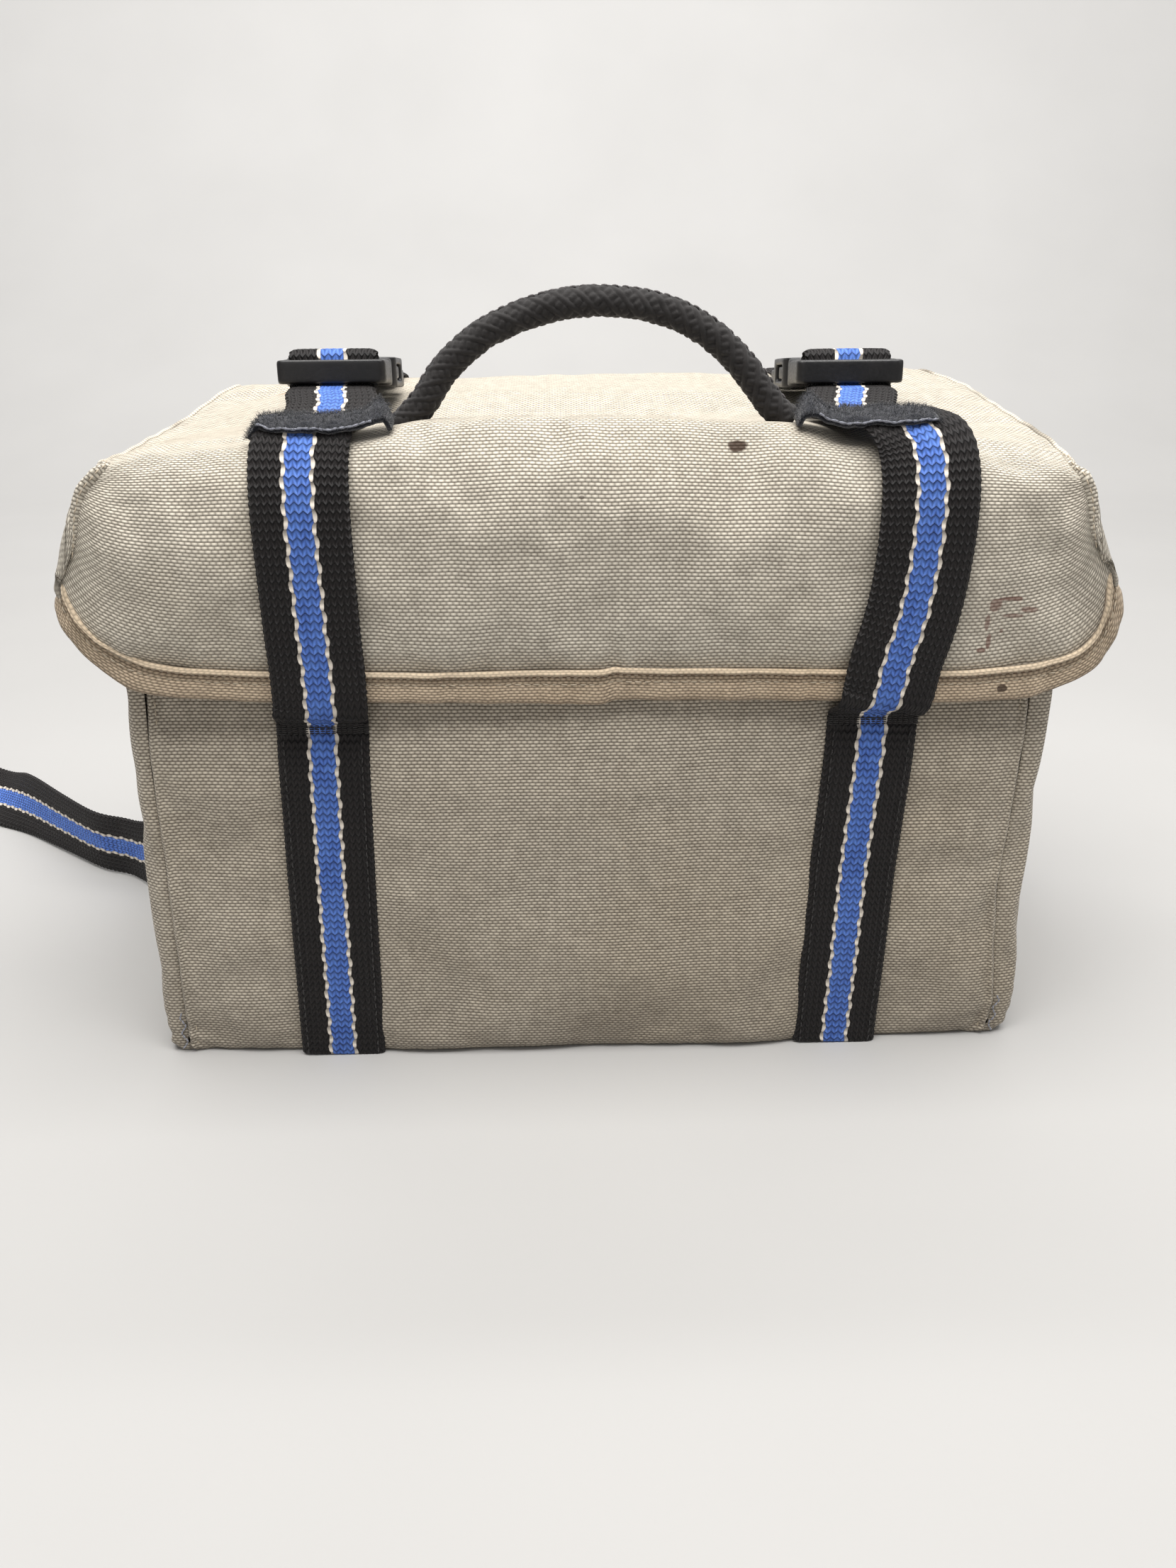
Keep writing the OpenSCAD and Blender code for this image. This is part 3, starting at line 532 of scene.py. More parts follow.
# the shoulder strap, along the route of its CAD solid
ROUTE = [
 [[-166, 10, 147], [0, 1, 0]], [[-166.5, 10, 160], [0, 1, 0]], [[-171, 10, 173], [0, 1, 0]], [[-179, 11, 174], [0, 1, 0]],
 [[-185, 13, 160], [0, 1, 0]], [[-188, 17, 130], [0, 1, 0.1]], [[-190, 23, 95], [0, 1, 0.2]], [[-195, 33, 58], [-0.2, 1, 0.5]],
 [[-205, 48, 30], [-0.2, 0.7, 1]], [[-218, 66, 19], [0, 0.2, 1]], [[-233, 79, 17], [0, 0, 1]], [[-251, 88, 17.2], [0, 0, 1]],
 [[-278, 112, 17.4], [0.05, 0.1, 1]], [[-309, 142, 16], [0.22, 0.27, 0.93]], [[-339, 167, 12.4], [0.5, 0.6, 0.62]],
 [[-363, 181, 13.4], [0.4, 0.55, 0.73]], [[-386, 190, 16.8], [0.1, 0.2, 1]], [[-403, 203, 17.6], [0, 0, 1]], [[-401, 221, 17.6], [0, 0, 1]],
 [[-384, 226, 17.2], [-0.1, -0.12, 1]], [[-367, 215, 14], [-0.4, -0.5, 0.75]], [[-349, 199, 8.4], [-0.58, -0.72, 0.38]],
 [[-326, 181, 7], [-0.58, -0.72, 0.32]], [[-297, 156, 10.2], [-0.55, -0.62, 0.55]], [[-267, 129, 11.5], [-0.5, -0.6, 0.62]],
 [[-242, 109, 11], [-0.36, -0.7, 0.58]], [[-216, 107, 7.4], [-0.1, -0.92, 0.35]], [[-188, 112, 3], [0, -1, 0.08]], [[-155, 117, 1.4], [0, -1, 0]],
 [[-110, 118, 1.2], [0, -1, 0]], [[-40, 118, 1.2], [0, -1, 0]],
 [[40, 118, 1.2], [0, -1, 0]], [[100, 118, 1.2], [0, -1, 0]], [[145, 118, 1.8], [0, -1, 0]], [[176, 112, 6], [-0.2, -1, -0.2]],
 [[194, 96, 14], [-0.5, -0.8, -0.7]], [[198, 72, 26], [-0.2, -0.7, -0.9]], [[196, 48, 50], [0, -0.8, -0.6]], [[192, 28, 85], [0, -1, -0.3]],
 [[189, 17, 125], [0, -1, -0.1]], [[185, 12, 158], [0, -1, 0]], [[179, 11, 174], [0, -1, 0]], [[171, 10, 173], [0, -1, 0]],
 [[166.5, 10, 160], [0, -1, 0]], [[166, 10, 147], [0, -1, 0]]]
rc = cat([r[0] for r in ROUTE], 8)
rs = cat([r[1] for r in ROUTE], 8)
sh, sh_len = strap("shoulder_strap_webbing", rc, rs, step=0.68)
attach(sh, "case")
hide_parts("shoulder_strap")
strap_route, _ = resample(rc, 2.0)


# ------------------------------------------------------------------ body
def lk(x, table):
    t = np.asarray(table, float)
    return np.interp(x, t[:, 0], t[:, 1])


XL = [(0, -165.6), (4, -166.6), (20, -166.9), (66, -164.8), (110, -163.4), (146, -162.4), (180, -162.2), (220, -161.4)]
XR = [(0, 165.6), (6, 168.0), (15, 169.2), (35, 168.2), (66, 166.6), (105, 167.0), (142, 167.6), (180, 165.0), (220, 161.8)]
SL = [(0, -157.6), (20, -157.4), (70, -156.6), (121, -155.9), (148, -154.2), (220, -154.0)]
SR = [(0, 158.0), (15, 160.0), (40, 157.4), (66, 155.5), (84, 156.8), (137, 158.9), (220, 156)]
STX = {-1: lambda z: lk(z, [(0, -96.5), (75, -94.7), (138, -92.5), (220, -91)]), 1: lambda z: lk(z, [(0, 96.5), (75, 98.6), (138, 101.5), (220, 103)])}


def y_front(x, z):
    a = np.clip(np.abs(x) / 158, 0, 1.05)
    y = -81.8 - 5.2 * (1 - a ** 2.2) * (0.93 + 0.16 * np.sin(np.pi * np.clip(z / 200, 0, 1)))
    y = y + 0.55 * lattice(x, z, 55, 38, 3) + 0.25 * lattice(x, z, 21, 17, 4)
    for s in (-1, 1):
        d = (x - STX[s](z)) / 17.5
        y = y + 0.7 * np.exp(-d ** 4)                      # webbing sewn tight presses the foam in
        y = y + 0.9 * np.exp(-d ** 2) * np.exp(-((z - 137) / 5.0) ** 2)
    return y


def columns(n_mid, fine=0.5, reach=7.0, span=300.0):
    e = np.arange(0, reach, fine)
    m = np.linspace(reach, span - reach, n_mid)
    return np.concatenate([e, m, (span - e)[::-1]]) / span


Z = np.concatenate([np.linspace(0.4, 12, 12), np.arange(14, 221, 2.2)])


def curl(P, depth=5.0):
    """turn the lower edge under the case: extra rows below the first one"""
    rows = []
    c = np.array([0, 4, 0.0])
    base = P[0]
    d = unit((c - base) * [1, 1, 0])
    # the nearest wall direction, not the centre
    ax = np.where(np.abs(base[:, 0:1]) / 163 > np.abs(base[:, 1:2] - 4) / 89, 1.0, 0.0)
    inw = unit(np.concatenate([-np.sign(base[:, 0:1]) * np.clip((np.abs(base[:, 0:1]) - 150) / 12, 0, 1),
                               -np.sign(base[:, 1:2] - 4) * np.clip((np.abs(base[:, 1:2] - 4) - 72) / 12, 0, 1), np.zeros_like(ax)], 1))
    for (k, zz) in ((depth, 0.35), (depth * 0.55, 0.15), (depth * 0.25, 0.35)):
        q = base + inw * k
        q[:, 2] = zz
        rows.append(q)
    lift = P.copy()
    for i, (k, zz) in enumerate(((1.0, 0.9), (0.3, 1.8), (0.1, 2.9))):
        lift[i] = lift[i] + inw * k
        lift[i][:, 2] = np.maximum(lift[i][:, 2], zz)
    return np.concatenate([np.array(rows), lift])


def uvs(P, u0=0.0, v0=0.0):
    u = arc(P, 1)
    v = arc(P, 0)
    mid = P.shape[1] // 2
    u = u - u[:, mid:mid + 1]
    return np.stack([u + u0, np.repeat(v[:, mid:mid + 1], P.shape[1], 1) + v0], -1)


def relax(P, pin, flip, pressure=2.0, grow=0.02, cap=2.6, frames=20):
    """cloth simulation of a coarse copy of the sheet P, held where pin is 1; gives its movement for every point of P"""
    out = np.zeros_like(P)
    pick = lambda a: np.unique(np.concatenate([np.searchsorted(a, np.arange(0, a[-1], 5.0)), [len(a) - 1]]))
    si, sj = arc(P, 0)[:, P.shape[1] // 2], arc(P, 1)[P.shape[0] // 2]
    ri, cj = pick(si), pick(sj)
    C = P[np.ix_(ri, cj)]
    o = build("relaxing", C.reshape(-1, 3), grid_faces(len(ri), len(cj), 0, flip))
    g = o.vertex_groups.new(name="pin")
    for k, wgt in enumerate(np.broadcast_to(pin, P.shape[:2])[np.ix_(ri, cj)].ravel()):
        if wgt > 0.01:
            g.add([k], float(wgt), "REPLACE")
    c = o.modifiers.new("cloth", "CLOTH").settings
    c.quality, c.mass, c.air_damping = 6, 0.3, 2.0
    c.tension_stiffness = c.compression_stiffness = 20
    c.shear_stiffness, c.bending_stiffness = 6, 0.7
    c.vertex_group_mass, c.pin_stiffness = "pin", 1.0
    c.use_pressure, c.uniform_pressure_force = True, pressure
    c.shrink_min = -grow
    c.effector_weights.gravity = 0
    sc = bpy.context.scene
    for fr in range(1, frames + 1):
        sc.frame_set(fr)
    ev = o.evaluated_get(bpy.context.evaluated_depsgraph_get())
    E = np.empty(len(ev.data.vertices) * 3, np.float32)
    ev.data.vertices.foreach_get("co", E)
    D = E.reshape(C.shape).astype(float) / MM - C
    bpy.data.objects.remove(o, do_unlink=True)
    sc.frame_set(1)
    if not np.isfinite(D).all():
        return out
    ln = np.linalg.norm(D, axis=-1, keepdims=True)
    D *= np.minimum(1, cap / np.maximum(ln, 1e-9))
    for k in range(3):
        rows = np.stack([np.interp(sj, sj[cj], D[i, :, k]) for i in range(len(ri))])
        out[..., k] = np.stack([np.interp(si, si[ri], rows[:, j]) for j in range(P.shape[1])], 1)
    for _ in range(4):
        out[1:-1, 1:-1] = (out[:-2, 1:-1] + out[2:, 1:-1] + out[1:-1, :-2] + out[1:-1, 2:]) / 4
    print("relaxed", P.shape, "most %.2f mm" % np.linalg.norm(out, axis=-1).max())
    return out


# front
f = columns(122, span=314)
zz, ff = np.meshgrid(Z, f, indexing="ij")
xl, xr = lk(zz, SL), lk(zz, SR)
X = xl + (xr - xl) * ff
Y = y_front(X, zz)
for edge, sgn in ((xl, 1), (xr, -1)):
    d = (X - edge) * sgn
    Y -= 1.15 * np.exp(-((d - 1.7) / 1.0) ** 2) - 0.8 * np.exp(-(d / 0.6) ** 2)
    Y -= 0.75 * np.sin((zz * 0.8 + d * 0.5) + lattice(zz, d, 9, 9, 8)) * np.exp(-d / 9) * np.exp(-zz / 15)
    Y -= 0.35 * lattice(zz, d, 6.5, 5, 9) * np.exp(-d / 5)
Y += 0.8 * np.exp(-zz / 3.5)
P = np.stack([X, Y, zz], -1)
pin = np.clip(1 - ff * 314 / 5, 0, 1) + np.clip(1 - (1 - ff) * 314 / 5, 0, 1) + np.clip(1 - zz / 5, 0, 1) + np.clip((zz - 205) / 5, 0, 1)
for s_ in (-1, 1):
    pin = np.maximum(pin, np.clip(18.5 - np.abs(X - STX[s_](zz)), 0, 1))
P = P + relax(P, np.clip(pin, 0, 1), False, 1.2, 0.012, 2.0) * np.clip((140 - zz) / 30, 0, 1)[..., None]
P[..., 1] += 1.6 * np.clip((zz - 128) / 14, 0, 1)
P = curl(P)
front = cloth("front_wall", P, uvs(P), 6.2, fabric)
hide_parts("front_panel", "front_foam")


def seam_y(s, z):
    return y_front(lk(z, SL if s < 0 else SR), z) + 0.8


def side_wall(s):
    keys = []
    wall = lk(Z, XL if s < 0 else XR)
    seam = lk(Z, SL if s < 0 else SR)
    ys = seam_y(s, Z)
    yb = 92.0
    b = lambda x, y, k=1.0: np.stack([x, y, Z], -1)
    K = [b(seam, ys), b(seam + s * 1.2, ys - 0.35), b(seam * 0.45 + wall * 0.55, ys - 0.1), b(wall - s * 1.6, ys + 1.7), b(wall - s * 0.3, ys + 4.8), b(wall, ys + 10)]
    for t in np.linspace(0.08, 0.92, 14):
        y = ys + 10 + (yb - 10 - ys - 10) * t
        inn = np.minimum(s * wall, 163.0) - s * wall
        hold = np.clip(t / 0.35, 0, 1) ** 0.8 * 1.0
        K.append(b(wall + s * (inn * hold + 0.6 * np.sin(np.pi * t)), y))
    wall = s * np.minimum(np.abs(wall), 163.0)
    K += [b(wall, yb - 10 + 0 * Z), b(wall - s * 0.3, yb - 4.8 + 0 * Z), b(wall - s * 1.6, yb - 1.7 + 0 * Z), b(seam * 0.45 + wall * 0.55, yb - 0.1 + 0 * Z), b(s * 156 + 0 * Z, yb + 0.2 + 0 * Z)]
    K = np.stack(K, 1)
    out = np.stack([cat(row, 7) for row in K])
    h = 0.5 * lattice(out[..., 1], out[..., 2], 45, 33, 12 + s) + 0.22 * lattice(out[..., 1], out[..., 2], 16, 13, 20 + s)
    fade = np.clip((out[..., 1] - ys[:, None] - 4) / 12, 0, 1) * np.clip((yb - 6 - out[..., 1]) / 12, 0, 1)
    out[..., 0] += s * h * fade
    pk = np.exp(-out[..., 2] / 14) * np.exp(-np.abs(out[..., 1] - ys[:, None]) / 9)
    out[..., 0] += s * 0.7 * pk * np.sin(out[..., 2] * 0.85 + out[..., 1] * 0.5)
    pin = np.clip(1 - np.minimum(arc(out, 1), arc(out, 1)[:, -1:] - arc(out, 1)) / 9, 0, 1) + np.clip(1 - out[..., 2] / 5, 0, 1) + np.clip((out[..., 2] - 205) / 5, 0, 1)
    pin = pin + np.clip((19 - np.abs(out[..., 1] - 10)) / 3, 0, 1) * np.clip((22 - np.abs(out[..., 2] - 131)) / 3, 0, 1)
    out = out + relax(out, np.clip(pin, 0, 1), s < 0, 1.0, 0.010, 1.6)
    P = curl(out)
    o = cloth("left_side_wall" if s < 0 else "right_side_wall", P, uvs(P, 300 * s), 6.0, fabric, flip=s < 0)
    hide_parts(*(["left_side_panel", "left_side_foam"] if s < 0 else ["right_side_panel", "right_side_foam"]))
    return o, out


left_wall, LW = side_wall(-1)
right_wall, RW = side_wall(1)

# back
zz, ff = np.meshgrid(Z, columns(90, span=312), indexing="ij")
X = -156 + 312 * ff
Y = 92.0 + 0.5 * (1 - (np.abs(X) / 156) ** 2) + 0.3 * lattice(X, zz, 50, 40, 31)
for edge, sgn in ((-156, 1), (156, -1)):
    d = (X - edge) * sgn
    Y += 0.9 * np.exp(-((d - 1.7) / 1.0) ** 2) - 0.5 * np.exp(-(d / 0.6) ** 2)
Y -= 0.8 * np.exp(-zz / 3.5)
P = curl(np.stack([X, Y, zz], -1))
back = cloth("back_wall", P, uvs(P, 900), 6.2, fabric, flip=True)
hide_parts("back_panel", "back_foam")

# bottom, its board and foam in one padded pad
n = 80
gx, gy = np.meshgrid(np.linspace(-1, 1, n), np.linspace(-1, 1, n // 2), indexing="xy")
X, Y = gx * 158.5, 4.2 + gy * 81.0
zb = 0.25 + 0.25 * (np.abs(gx) ** 6 + np.abs(gy) ** 6) + 0.0 * gx
P = np.stack([X, Y, zb], -1)
bottom = cloth("bottom_pad", P, np.stack([X, Y], -1), 7.4, fabric, flip=True)
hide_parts("bottom_panel", "bottom_board", "bottom_foam")
ride("case", front, left_wall, right_wall, back, bottom)

# seam stitches at the front corners, and the light thread that gathers the bottom corners
th = []
for s in (-1, 1):
    zs = np.linspace(4, 190, 160)
    xs = lk(zs, SL if s < 0 else SR)
    base = np.stack([xs - s * 3.4, y_front(xs, zs) + 0.75 - 0.15, zs], -1)
    th.append(stitches("corner_stitch", base, (0, -1, 0), 3.3, 2.4, 0.26, thread_tan, 0.0, 5))
    zs = np.linspace(2.5, 17, 22)
    xs = lk(zs, SL if s < 0 else SR) + s * (1.2 + 0.9 * np.sin(zs * 0.9))
    th.append(stitches("gather_thread", np.stack([xs, y_front(xs, zs) - 0.3, zs], -1), (0, -1, 0), 1.9, 1.8, 0.32, thread_pale, 0.1, 6))
th = join("corner_seam_thread", th)
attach(th, "case")

# inner bag: four quilted walls and a floor, one sheet
def bag():
    V, F, UV, o = [], [], [], 0
    x0, x1, y0, y1, z0, z1 = -155.0, 155.0, -76.4, 84.6, 9.2, 218.8
    n, m = 60, 50
    for a, (p, q) in enumerate((((x0, y0), (x1, y0)), ((x1, y0), (x1, y1)), ((x1, y1), (x0, y1)), ((x0, y1), (x0, y0)))):
        t = np.linspace(0, 1, n)[None, :] * np.ones((m, 1))
        h = np.linspace(0, 1, m)[:, None] * np.ones((1, n))
        X, Y, W = p[0] + (q[0] - p[0]) * t, p[1] + (q[1] - p[1]) * t, z0 + (z1 - z0) * h
        inn = (1.6 * np.sin(np.pi * t) ** 0.5 * np.sin(np.pi * h) ** 0.5 + 0.5 * lattice(X + Y, W, 30, 30, 50 + a)) * np.clip(np.sin(np.pi * t) * np.sin(np.pi * h) * 8, 0, 1)
        nx, ny = ((0, 1), (-1, 0), (0, -1), (1, 0))[a]
        V.append(np.stack([X + nx * inn, Y + ny * inn, W], -1).reshape(-1, 3))
        UV.append(np.stack([t * 300, h * 200], -1).reshape(-1, 2))
        F.append(grid_faces(m, n, o, True))
        o += n * m
    gx, gy = np.meshgrid(np.linspace(x0, x1, n), np.linspace(y0, y1, m))
    V.append(np.stack([gx, gy, z0 + 0.5 * lattice(gx, gy, 40, 40, 60) * 0 + 0.02 * gx * 0 + 0.0], -1).reshape(-1, 3))
    UV.append(np.stack([gx, gy], -1).reshape(-1, 2))
    F.append(grid_faces(m, n, o, False))
    return build("inner_bag", np.concatenate(V), np.concatenate(F), np.concatenate(UV), lining_fabric)


inner = bag()
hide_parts("lining")
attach(inner, "case")

# tape over the rim of the walls
zt = 220.0
top_loop = [(-161, -70), (-161.2, 0), (-161, 80), (-159.5, 88.5), (-152, 91), (0, 91.4), (152, 91), (159.5, 88.5), (161, 80), (161.3, 0), (161, -70),
            (158.5, -79), (150, -81.6), (80, -84.4), (0, -85.4), (-80, -84.4), (-150, -81.6), (-158.5, -79)]
lp = cat([(x * 0.978, 4 + (y - 4) * 0.958, zt) for x, y in top_loop + top_loop[:1]], 10)
lp, ls = resample(lp, 2.5)
lp = lp[:-1]
T = unit(np.roll(lp, -1, 0) - np.roll(lp, 1, 0))
out = np.cross(T, (0, 0, 1.0))
ang = np.linspace(0, 2 * np.pi, 18, endpoint=False)
prof = np.stack([np.sign(np.cos(ang)) * np.abs(np.cos(ang)) ** 0.6 * 4.3, np.sign(np.sin(ang)) * np.abs(np.sin(ang)) ** 0.7 * 1.25], -1)
Pn = lp[:, None] + prof[None, :, :1] * out[:, None] + prof[None, :, 1:] * np.array([0, 0, 1.0])
m = len(prof)
Fr = []
for i in range(len(lp)):
    j = (i + 1) % len(lp)
    for k in range(m):
        Fr.append((i * m + k, j * m + k, j * m + (k + 1) % m, i * m + (k + 1) % m))
rim = build("rim_tape", Pn.reshape(-1, 3), Fr, np.stack(np.broadcast_arrays(ls[:-1, None], ang[None] * 4), -1).reshape(-1, 2), hem_fabric)
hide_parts("rim_binding")
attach(rim, "case")

# ------------------------------------------------------------------ lid
MID = np.array([[92.6, 222], [92.8, 234], [89, 240.3], [80, 242.8], [70, 243], [55, 241.4], [40, 239.3], [28, 237], [16, 233.8], [4, 230.8],
 [-10, 229.2], [-25, 229.6], [-40, 231], [-55, 232.8], [-68, 234.2], [-76, 234.2], [-82, 231.6], [-87.4, 225.0]])
LE = np.array([[-162, 91, 222], [-158, 92.2, 231], [-150.5, 89.5, 239.0], [-150.5, 80, 240.6], [-153, 70, 239.2], [-156.5, 55, 235.6], [-159.6, 40, 231.8],
 [-161.6, 28, 229.4], [-163, 16, 228], [-163, 4, 227], [-163, -10, 226.3], [-163, -25, 225], [-163, -40, 224], [-162.6, -55, 223.8], [-160.6, -68, 224.2],
 [-157.6, -77.5, 224.9], [-153.8, -84, 225.4], [-156.8, -88, 222.0]])
RE = np.array([[162, 91, 222], [159, 92.2, 234], [154, 89, 241.6], [154.5, 80, 244.4], [157.5, 70, 243.8], [161, 55, 241.8], [163, 40, 240], [163, 28, 238.4],
 [163, 16, 236.6], [163, 4, 235], [163, -10, 233], [163, -25, 231], [163, -40, 229], [163, -55, 226.8], [162, -68, 224.8], [161.4, -77.5, 223], [160.6, -84, 221.6], [162.6, -88, 218.6]])
LF = np.array([[-156.8, 222.0], [-160.9, 217.2], [-163.6, 210.8], [-165.4, 203.4], [-167.2, 196.5], [-169.6, 189.5], [-170.5, 183]])
RF = np.array([[162.6, 218.6], [165.0, 213.6], [166.6, 208.0], [168.0, 201.6], [170.2, 195.0], [174.0, 188], [176, 178]])
HL = [(0, 0, 155.7), (0.33, -54.8, 155.6), (0.6, -98, 156.3), (0.67, -110.8, 156.9), (0.78, -130, 158.0), (0.86, -144.5, 160.2), (0.92, -154, 163.6), (0.96, -161, 168.0), (0.975, -164.6, 171.4), (0.99, -168.2, 177), (1, -170.4, 183)]
HR = [(0, 0, 155.7), (0.33, 55, 155.2), (0.6, 100, 154.0), (0.75, 125, 153), (0.85, 142, 153.8), (0.92, 155, 155.3), (0.96, 164.4, 157.8), (0.972, 169.2, 160.2), (0.984, 173.0, 164.0), (0.993, 175.2, 169), (1, 176.2, 177)]


def under(H, k=3.2):
    """the flap's edge lies k beneath the hem tape"""
    H = np.array(H, float)
    t = unit(np.gradient(H[:, 1:], axis=0))
    n = np.stack([t[:, 1], -t[:, 0]], 1)
    n *= np.sign(-n[:1, 1:2])
    H[:, 1:] += n * k
    return H


HL, HR = under(HL), under(HR)
LF[4:, 0] -= np.array([0.8, 2.6, 3.2])
RF[4:, 0] += np.array([0.8, 2.4, 3.0])
YF = [(150, -88.9), (156, -89.4), (170, -90.6), (185, -91.6), (200, -92.0), (210, -91.6), (218, -90.2), (224, -87.8), (228, -84.5)]
LSX = {-1: lambda z: lk(z, [(150, -91.5), (200, -91.2), (240, -90)]), 1: lambda z: lk(z, [(150, 102.5), (178, 109.8), (213, 112.3), (240, 103)])}

cc = np.concatenate([np.linspace(-1, -0.96, 12), np.linspace(-0.955, 0.955, 136), np.linspace(0.96, 1, 12)])
A = np.abs(cc)[None, :]
neg = (cc < 0)[None, :]
NT = 6
mid, le, re = cat(MID, NT), cat(LE, NT), cat(RE, NT)
ex = np.where(neg, le[:, :1], re[:, :1])
ey = np.where(neg, le[:, 1:2], re[:, 1:2])
ez = np.where(neg, le[:, 2:3], re[:, 2:3])
w = A ** 3.0
TX = A * ex
TY = mid[:, :1] * (1 - w) + ey * w
TZ = mid[:, 1:2] * (1 - w) + ez * w
d = np.linspace(0, 1, 44)[1:, None]
hx = np.where(neg, np.interp(A, [h[0] for h in HL], [h[1] for h in HL]), np.interp(A, [h[0] for h in HR], [h[1] for h in HR]))
hz = np.where(neg, np.interp(A, [h[0] for h in HL], [h[2] for h in HL]), np.interp(A, [h[0] for h in HR], [h[2] for h in HR]))
x0, z0 = TX[-1][None, :], TZ[-1][None, :]
FX, FZ = x0 * (1 - d) + hx * d, z0 * (1 - d) + hz * d
lf, rf = cat(LF, 12), cat(RF, 12)
tt = np.linspace(0, 1, len(lf))
for (tab, col, sel) in ((lf, 0, neg), (rf, -1, ~neg)):
    dx = np.interp(d[:, 0], tt, tab[:, 0])[:, None] - FX[:, [col]]
    dz = np.interp(d[:, 0], tt, tab[:, 1])[:, None] - FZ[:, [col]]
    k = np.where(sel, A ** 7, 0)
    FX, FZ = FX + dx * k, FZ + dz * k
FY = np.interp(FZ, [p[0] for p in YF], [p[1] for p in YF]) + 0.9 * A ** 8
X, Y, W = np.concatenate([TX, FX]), np.concatenate([TY, FY]), np.concatenate([TZ, FZ])
nt = len(TX)
ridx = np.arange(len(X))[:, None] * np.ones_like(X)
# smooth the turn from the top to the flap
for _ in range(3):
    a0, a1 = nt - 9, nt + 7
    for M in (Y, W):
        M[a0:a1] = 0.5 * M[a0:a1] + 0.25 * (M[a0 - 1:a1 - 1] + M[a0 + 1:a1 + 1])
P = np.stack([X, Y, W], -1)
N = -normals(P)
edge = np.clip((1 - A) * 9, 0, 1)
low = np.clip((len(X) - 1 - ridx) / 5, 0, 1)
srow = arc(P, 0)
h = 0.85 * lattice(X, srow, 62, 46, 70) + 0.38 * lattice(X, srow, 24, 20, 71) + 0.14 * lattice(X, srow, 9, 8, 72)
h = h * edge * (0.35 + 0.65 * low)
for s in (-1, 1):
    q = (X - LSX[s](W)) / 19.0
    crest = np.exp(-((Y + 74) / 15) ** 2) * np.clip((W - 215) / 12, 0, 1)
    h -= 3.2 * np.exp(-q ** 2) * crest
    flapz = np.clip((228 - W) / 10, 0, 1) * (Y < -80)
    h -= 0.5 * np.exp(-q ** 4) * flapz
# a crease rising from the hem near the middle, and dimples where the padding ends
cr_x = 9.5 - 0.16 * (W - 155)
h -= 1.0 * np.exp(-((X - cr_x) / 2.2) ** 2) * np.clip((176 - W) / 16, 0, 1) * (Y < -80)
h += 0.7 * np.exp(-((X - cr_x - 5.0) / 3.0) ** 2) * np.clip((174 - W) / 16, 0, 1) * (Y < -80)
h += 0.5 * np.sin((X + W) * 0.16) * np.exp(-((A - 0.93) / 0.06) ** 2) * (W < 215)
h += 0.45 * np.sin(srow * 0.33 + X * 0.05) * np.exp(-((A - 0.97) / 0.03) ** 2) * (Y > -75)
P = P + N * h[..., None]
pin = np.clip((A - 0.975) / 0.02, 0, 1) * np.ones_like(X) + np.clip((6 - ridx) / 3, 0, 1) + np.clip((ridx - len(X) + 5) / 3, 0, 1)
for s_ in (-1, 1):
    pin = np.maximum(pin, 0.9 * np.clip(17.5 - np.abs(X - LSX[s_](W)), 0, 1) * (Y < -66))
P = P + relax(P, np.clip(pin, 0, 1), True, 1.6, 0.014, 2.4)
back_in = np.clip((ridx - len(X) + 7) / 4, 0, 1) * (A < 0.9)
P[..., 1] += 1.0 * back_in
LIDP = P
cover = cloth("lid_cover_fabric", P, uvs(P), 1.3, lid_fabric_painted_lit, flip=True)
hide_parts("lid_cover")


def skirt(s):
    col = 0 if s < 0 else -1
    E = P[:, col]
    top = E[NT: nt + 33]
    m = len(top)
    bot = np.empty_like(top)
    B = {-1: [(92, -166, 194.5), (50, -166.3, 194.4), (0, -166.6, 194.2), (-55, -167.2, 194), (-72, -168.4, 193.2), (-80, -170, 191.6), (-86, -171.8, 188), (-91.5, -173.0, 183.5)],
         1: [(92, 166, 194.5), (50, 166.6, 194.4), (0, 167.7, 194.2), (-55, 170.4, 194), (-72, 172.7, 193), (-80, 174.6, 190.8), (-86, 176.6, 186.6), (-91.5, 178.2, 182)]}[s]
    # the lower edge keeps pace with the upper one
    t = np.linspace(0, 1, m)
    yb = np.interp(t, [0, 0.93 * (nt - NT) / m, (nt - NT + 8) / m, 1], [92, -72, -85, -91.3])
    B = np.array(B)[::-1]
    bot[:, 1] = yb
    bot[:, 0] = np.interp(yb, B[:, 0], B[:, 1])
    bot[:, 2] = np.interp(yb, B[:, 0], B[:, 2])
    v = np.linspace(0, 1, 22)[:, None, None]
    G = top[None] * (1 - v) + bot[None] * v
    crown = 2.6 * np.sin(np.pi * v[..., 0]) ** 0.8 * (1 - (0.62 if s > 0 else 0.25) * np.clip((-45 - G[..., 1]) / 30, 0, 1))
    G[..., 0] += s * (crown + 0.5 * lattice(G[..., 1], G[..., 2], 28, 17, 80 + s) * np.sin(np.pi * v[..., 0]))
    front_turn = np.clip((-70 - G[..., 1]) / 20, 0, 1)
    G[..., 1] -= 0.9 * front_turn * np.sin(np.pi * v[..., 0])
    d = v[..., 0] * 20
    G[..., 0] += s * 0.9 * np.exp(-((d - 1.6) / 1.0) ** 2)
    o = cloth("left_lid_skirt_fabric" if s < 0 else "right_lid_skirt_fabric", G, uvs(G, 500 * s), 1.3, lid_fabric_painted_lit, flip=s > 0)
    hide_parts("lid_left_skirt" if s < 0 else "lid_right_skirt")
    return o


sk = [skirt(-1), skirt(1)]
ride("lid", cover, *sk)

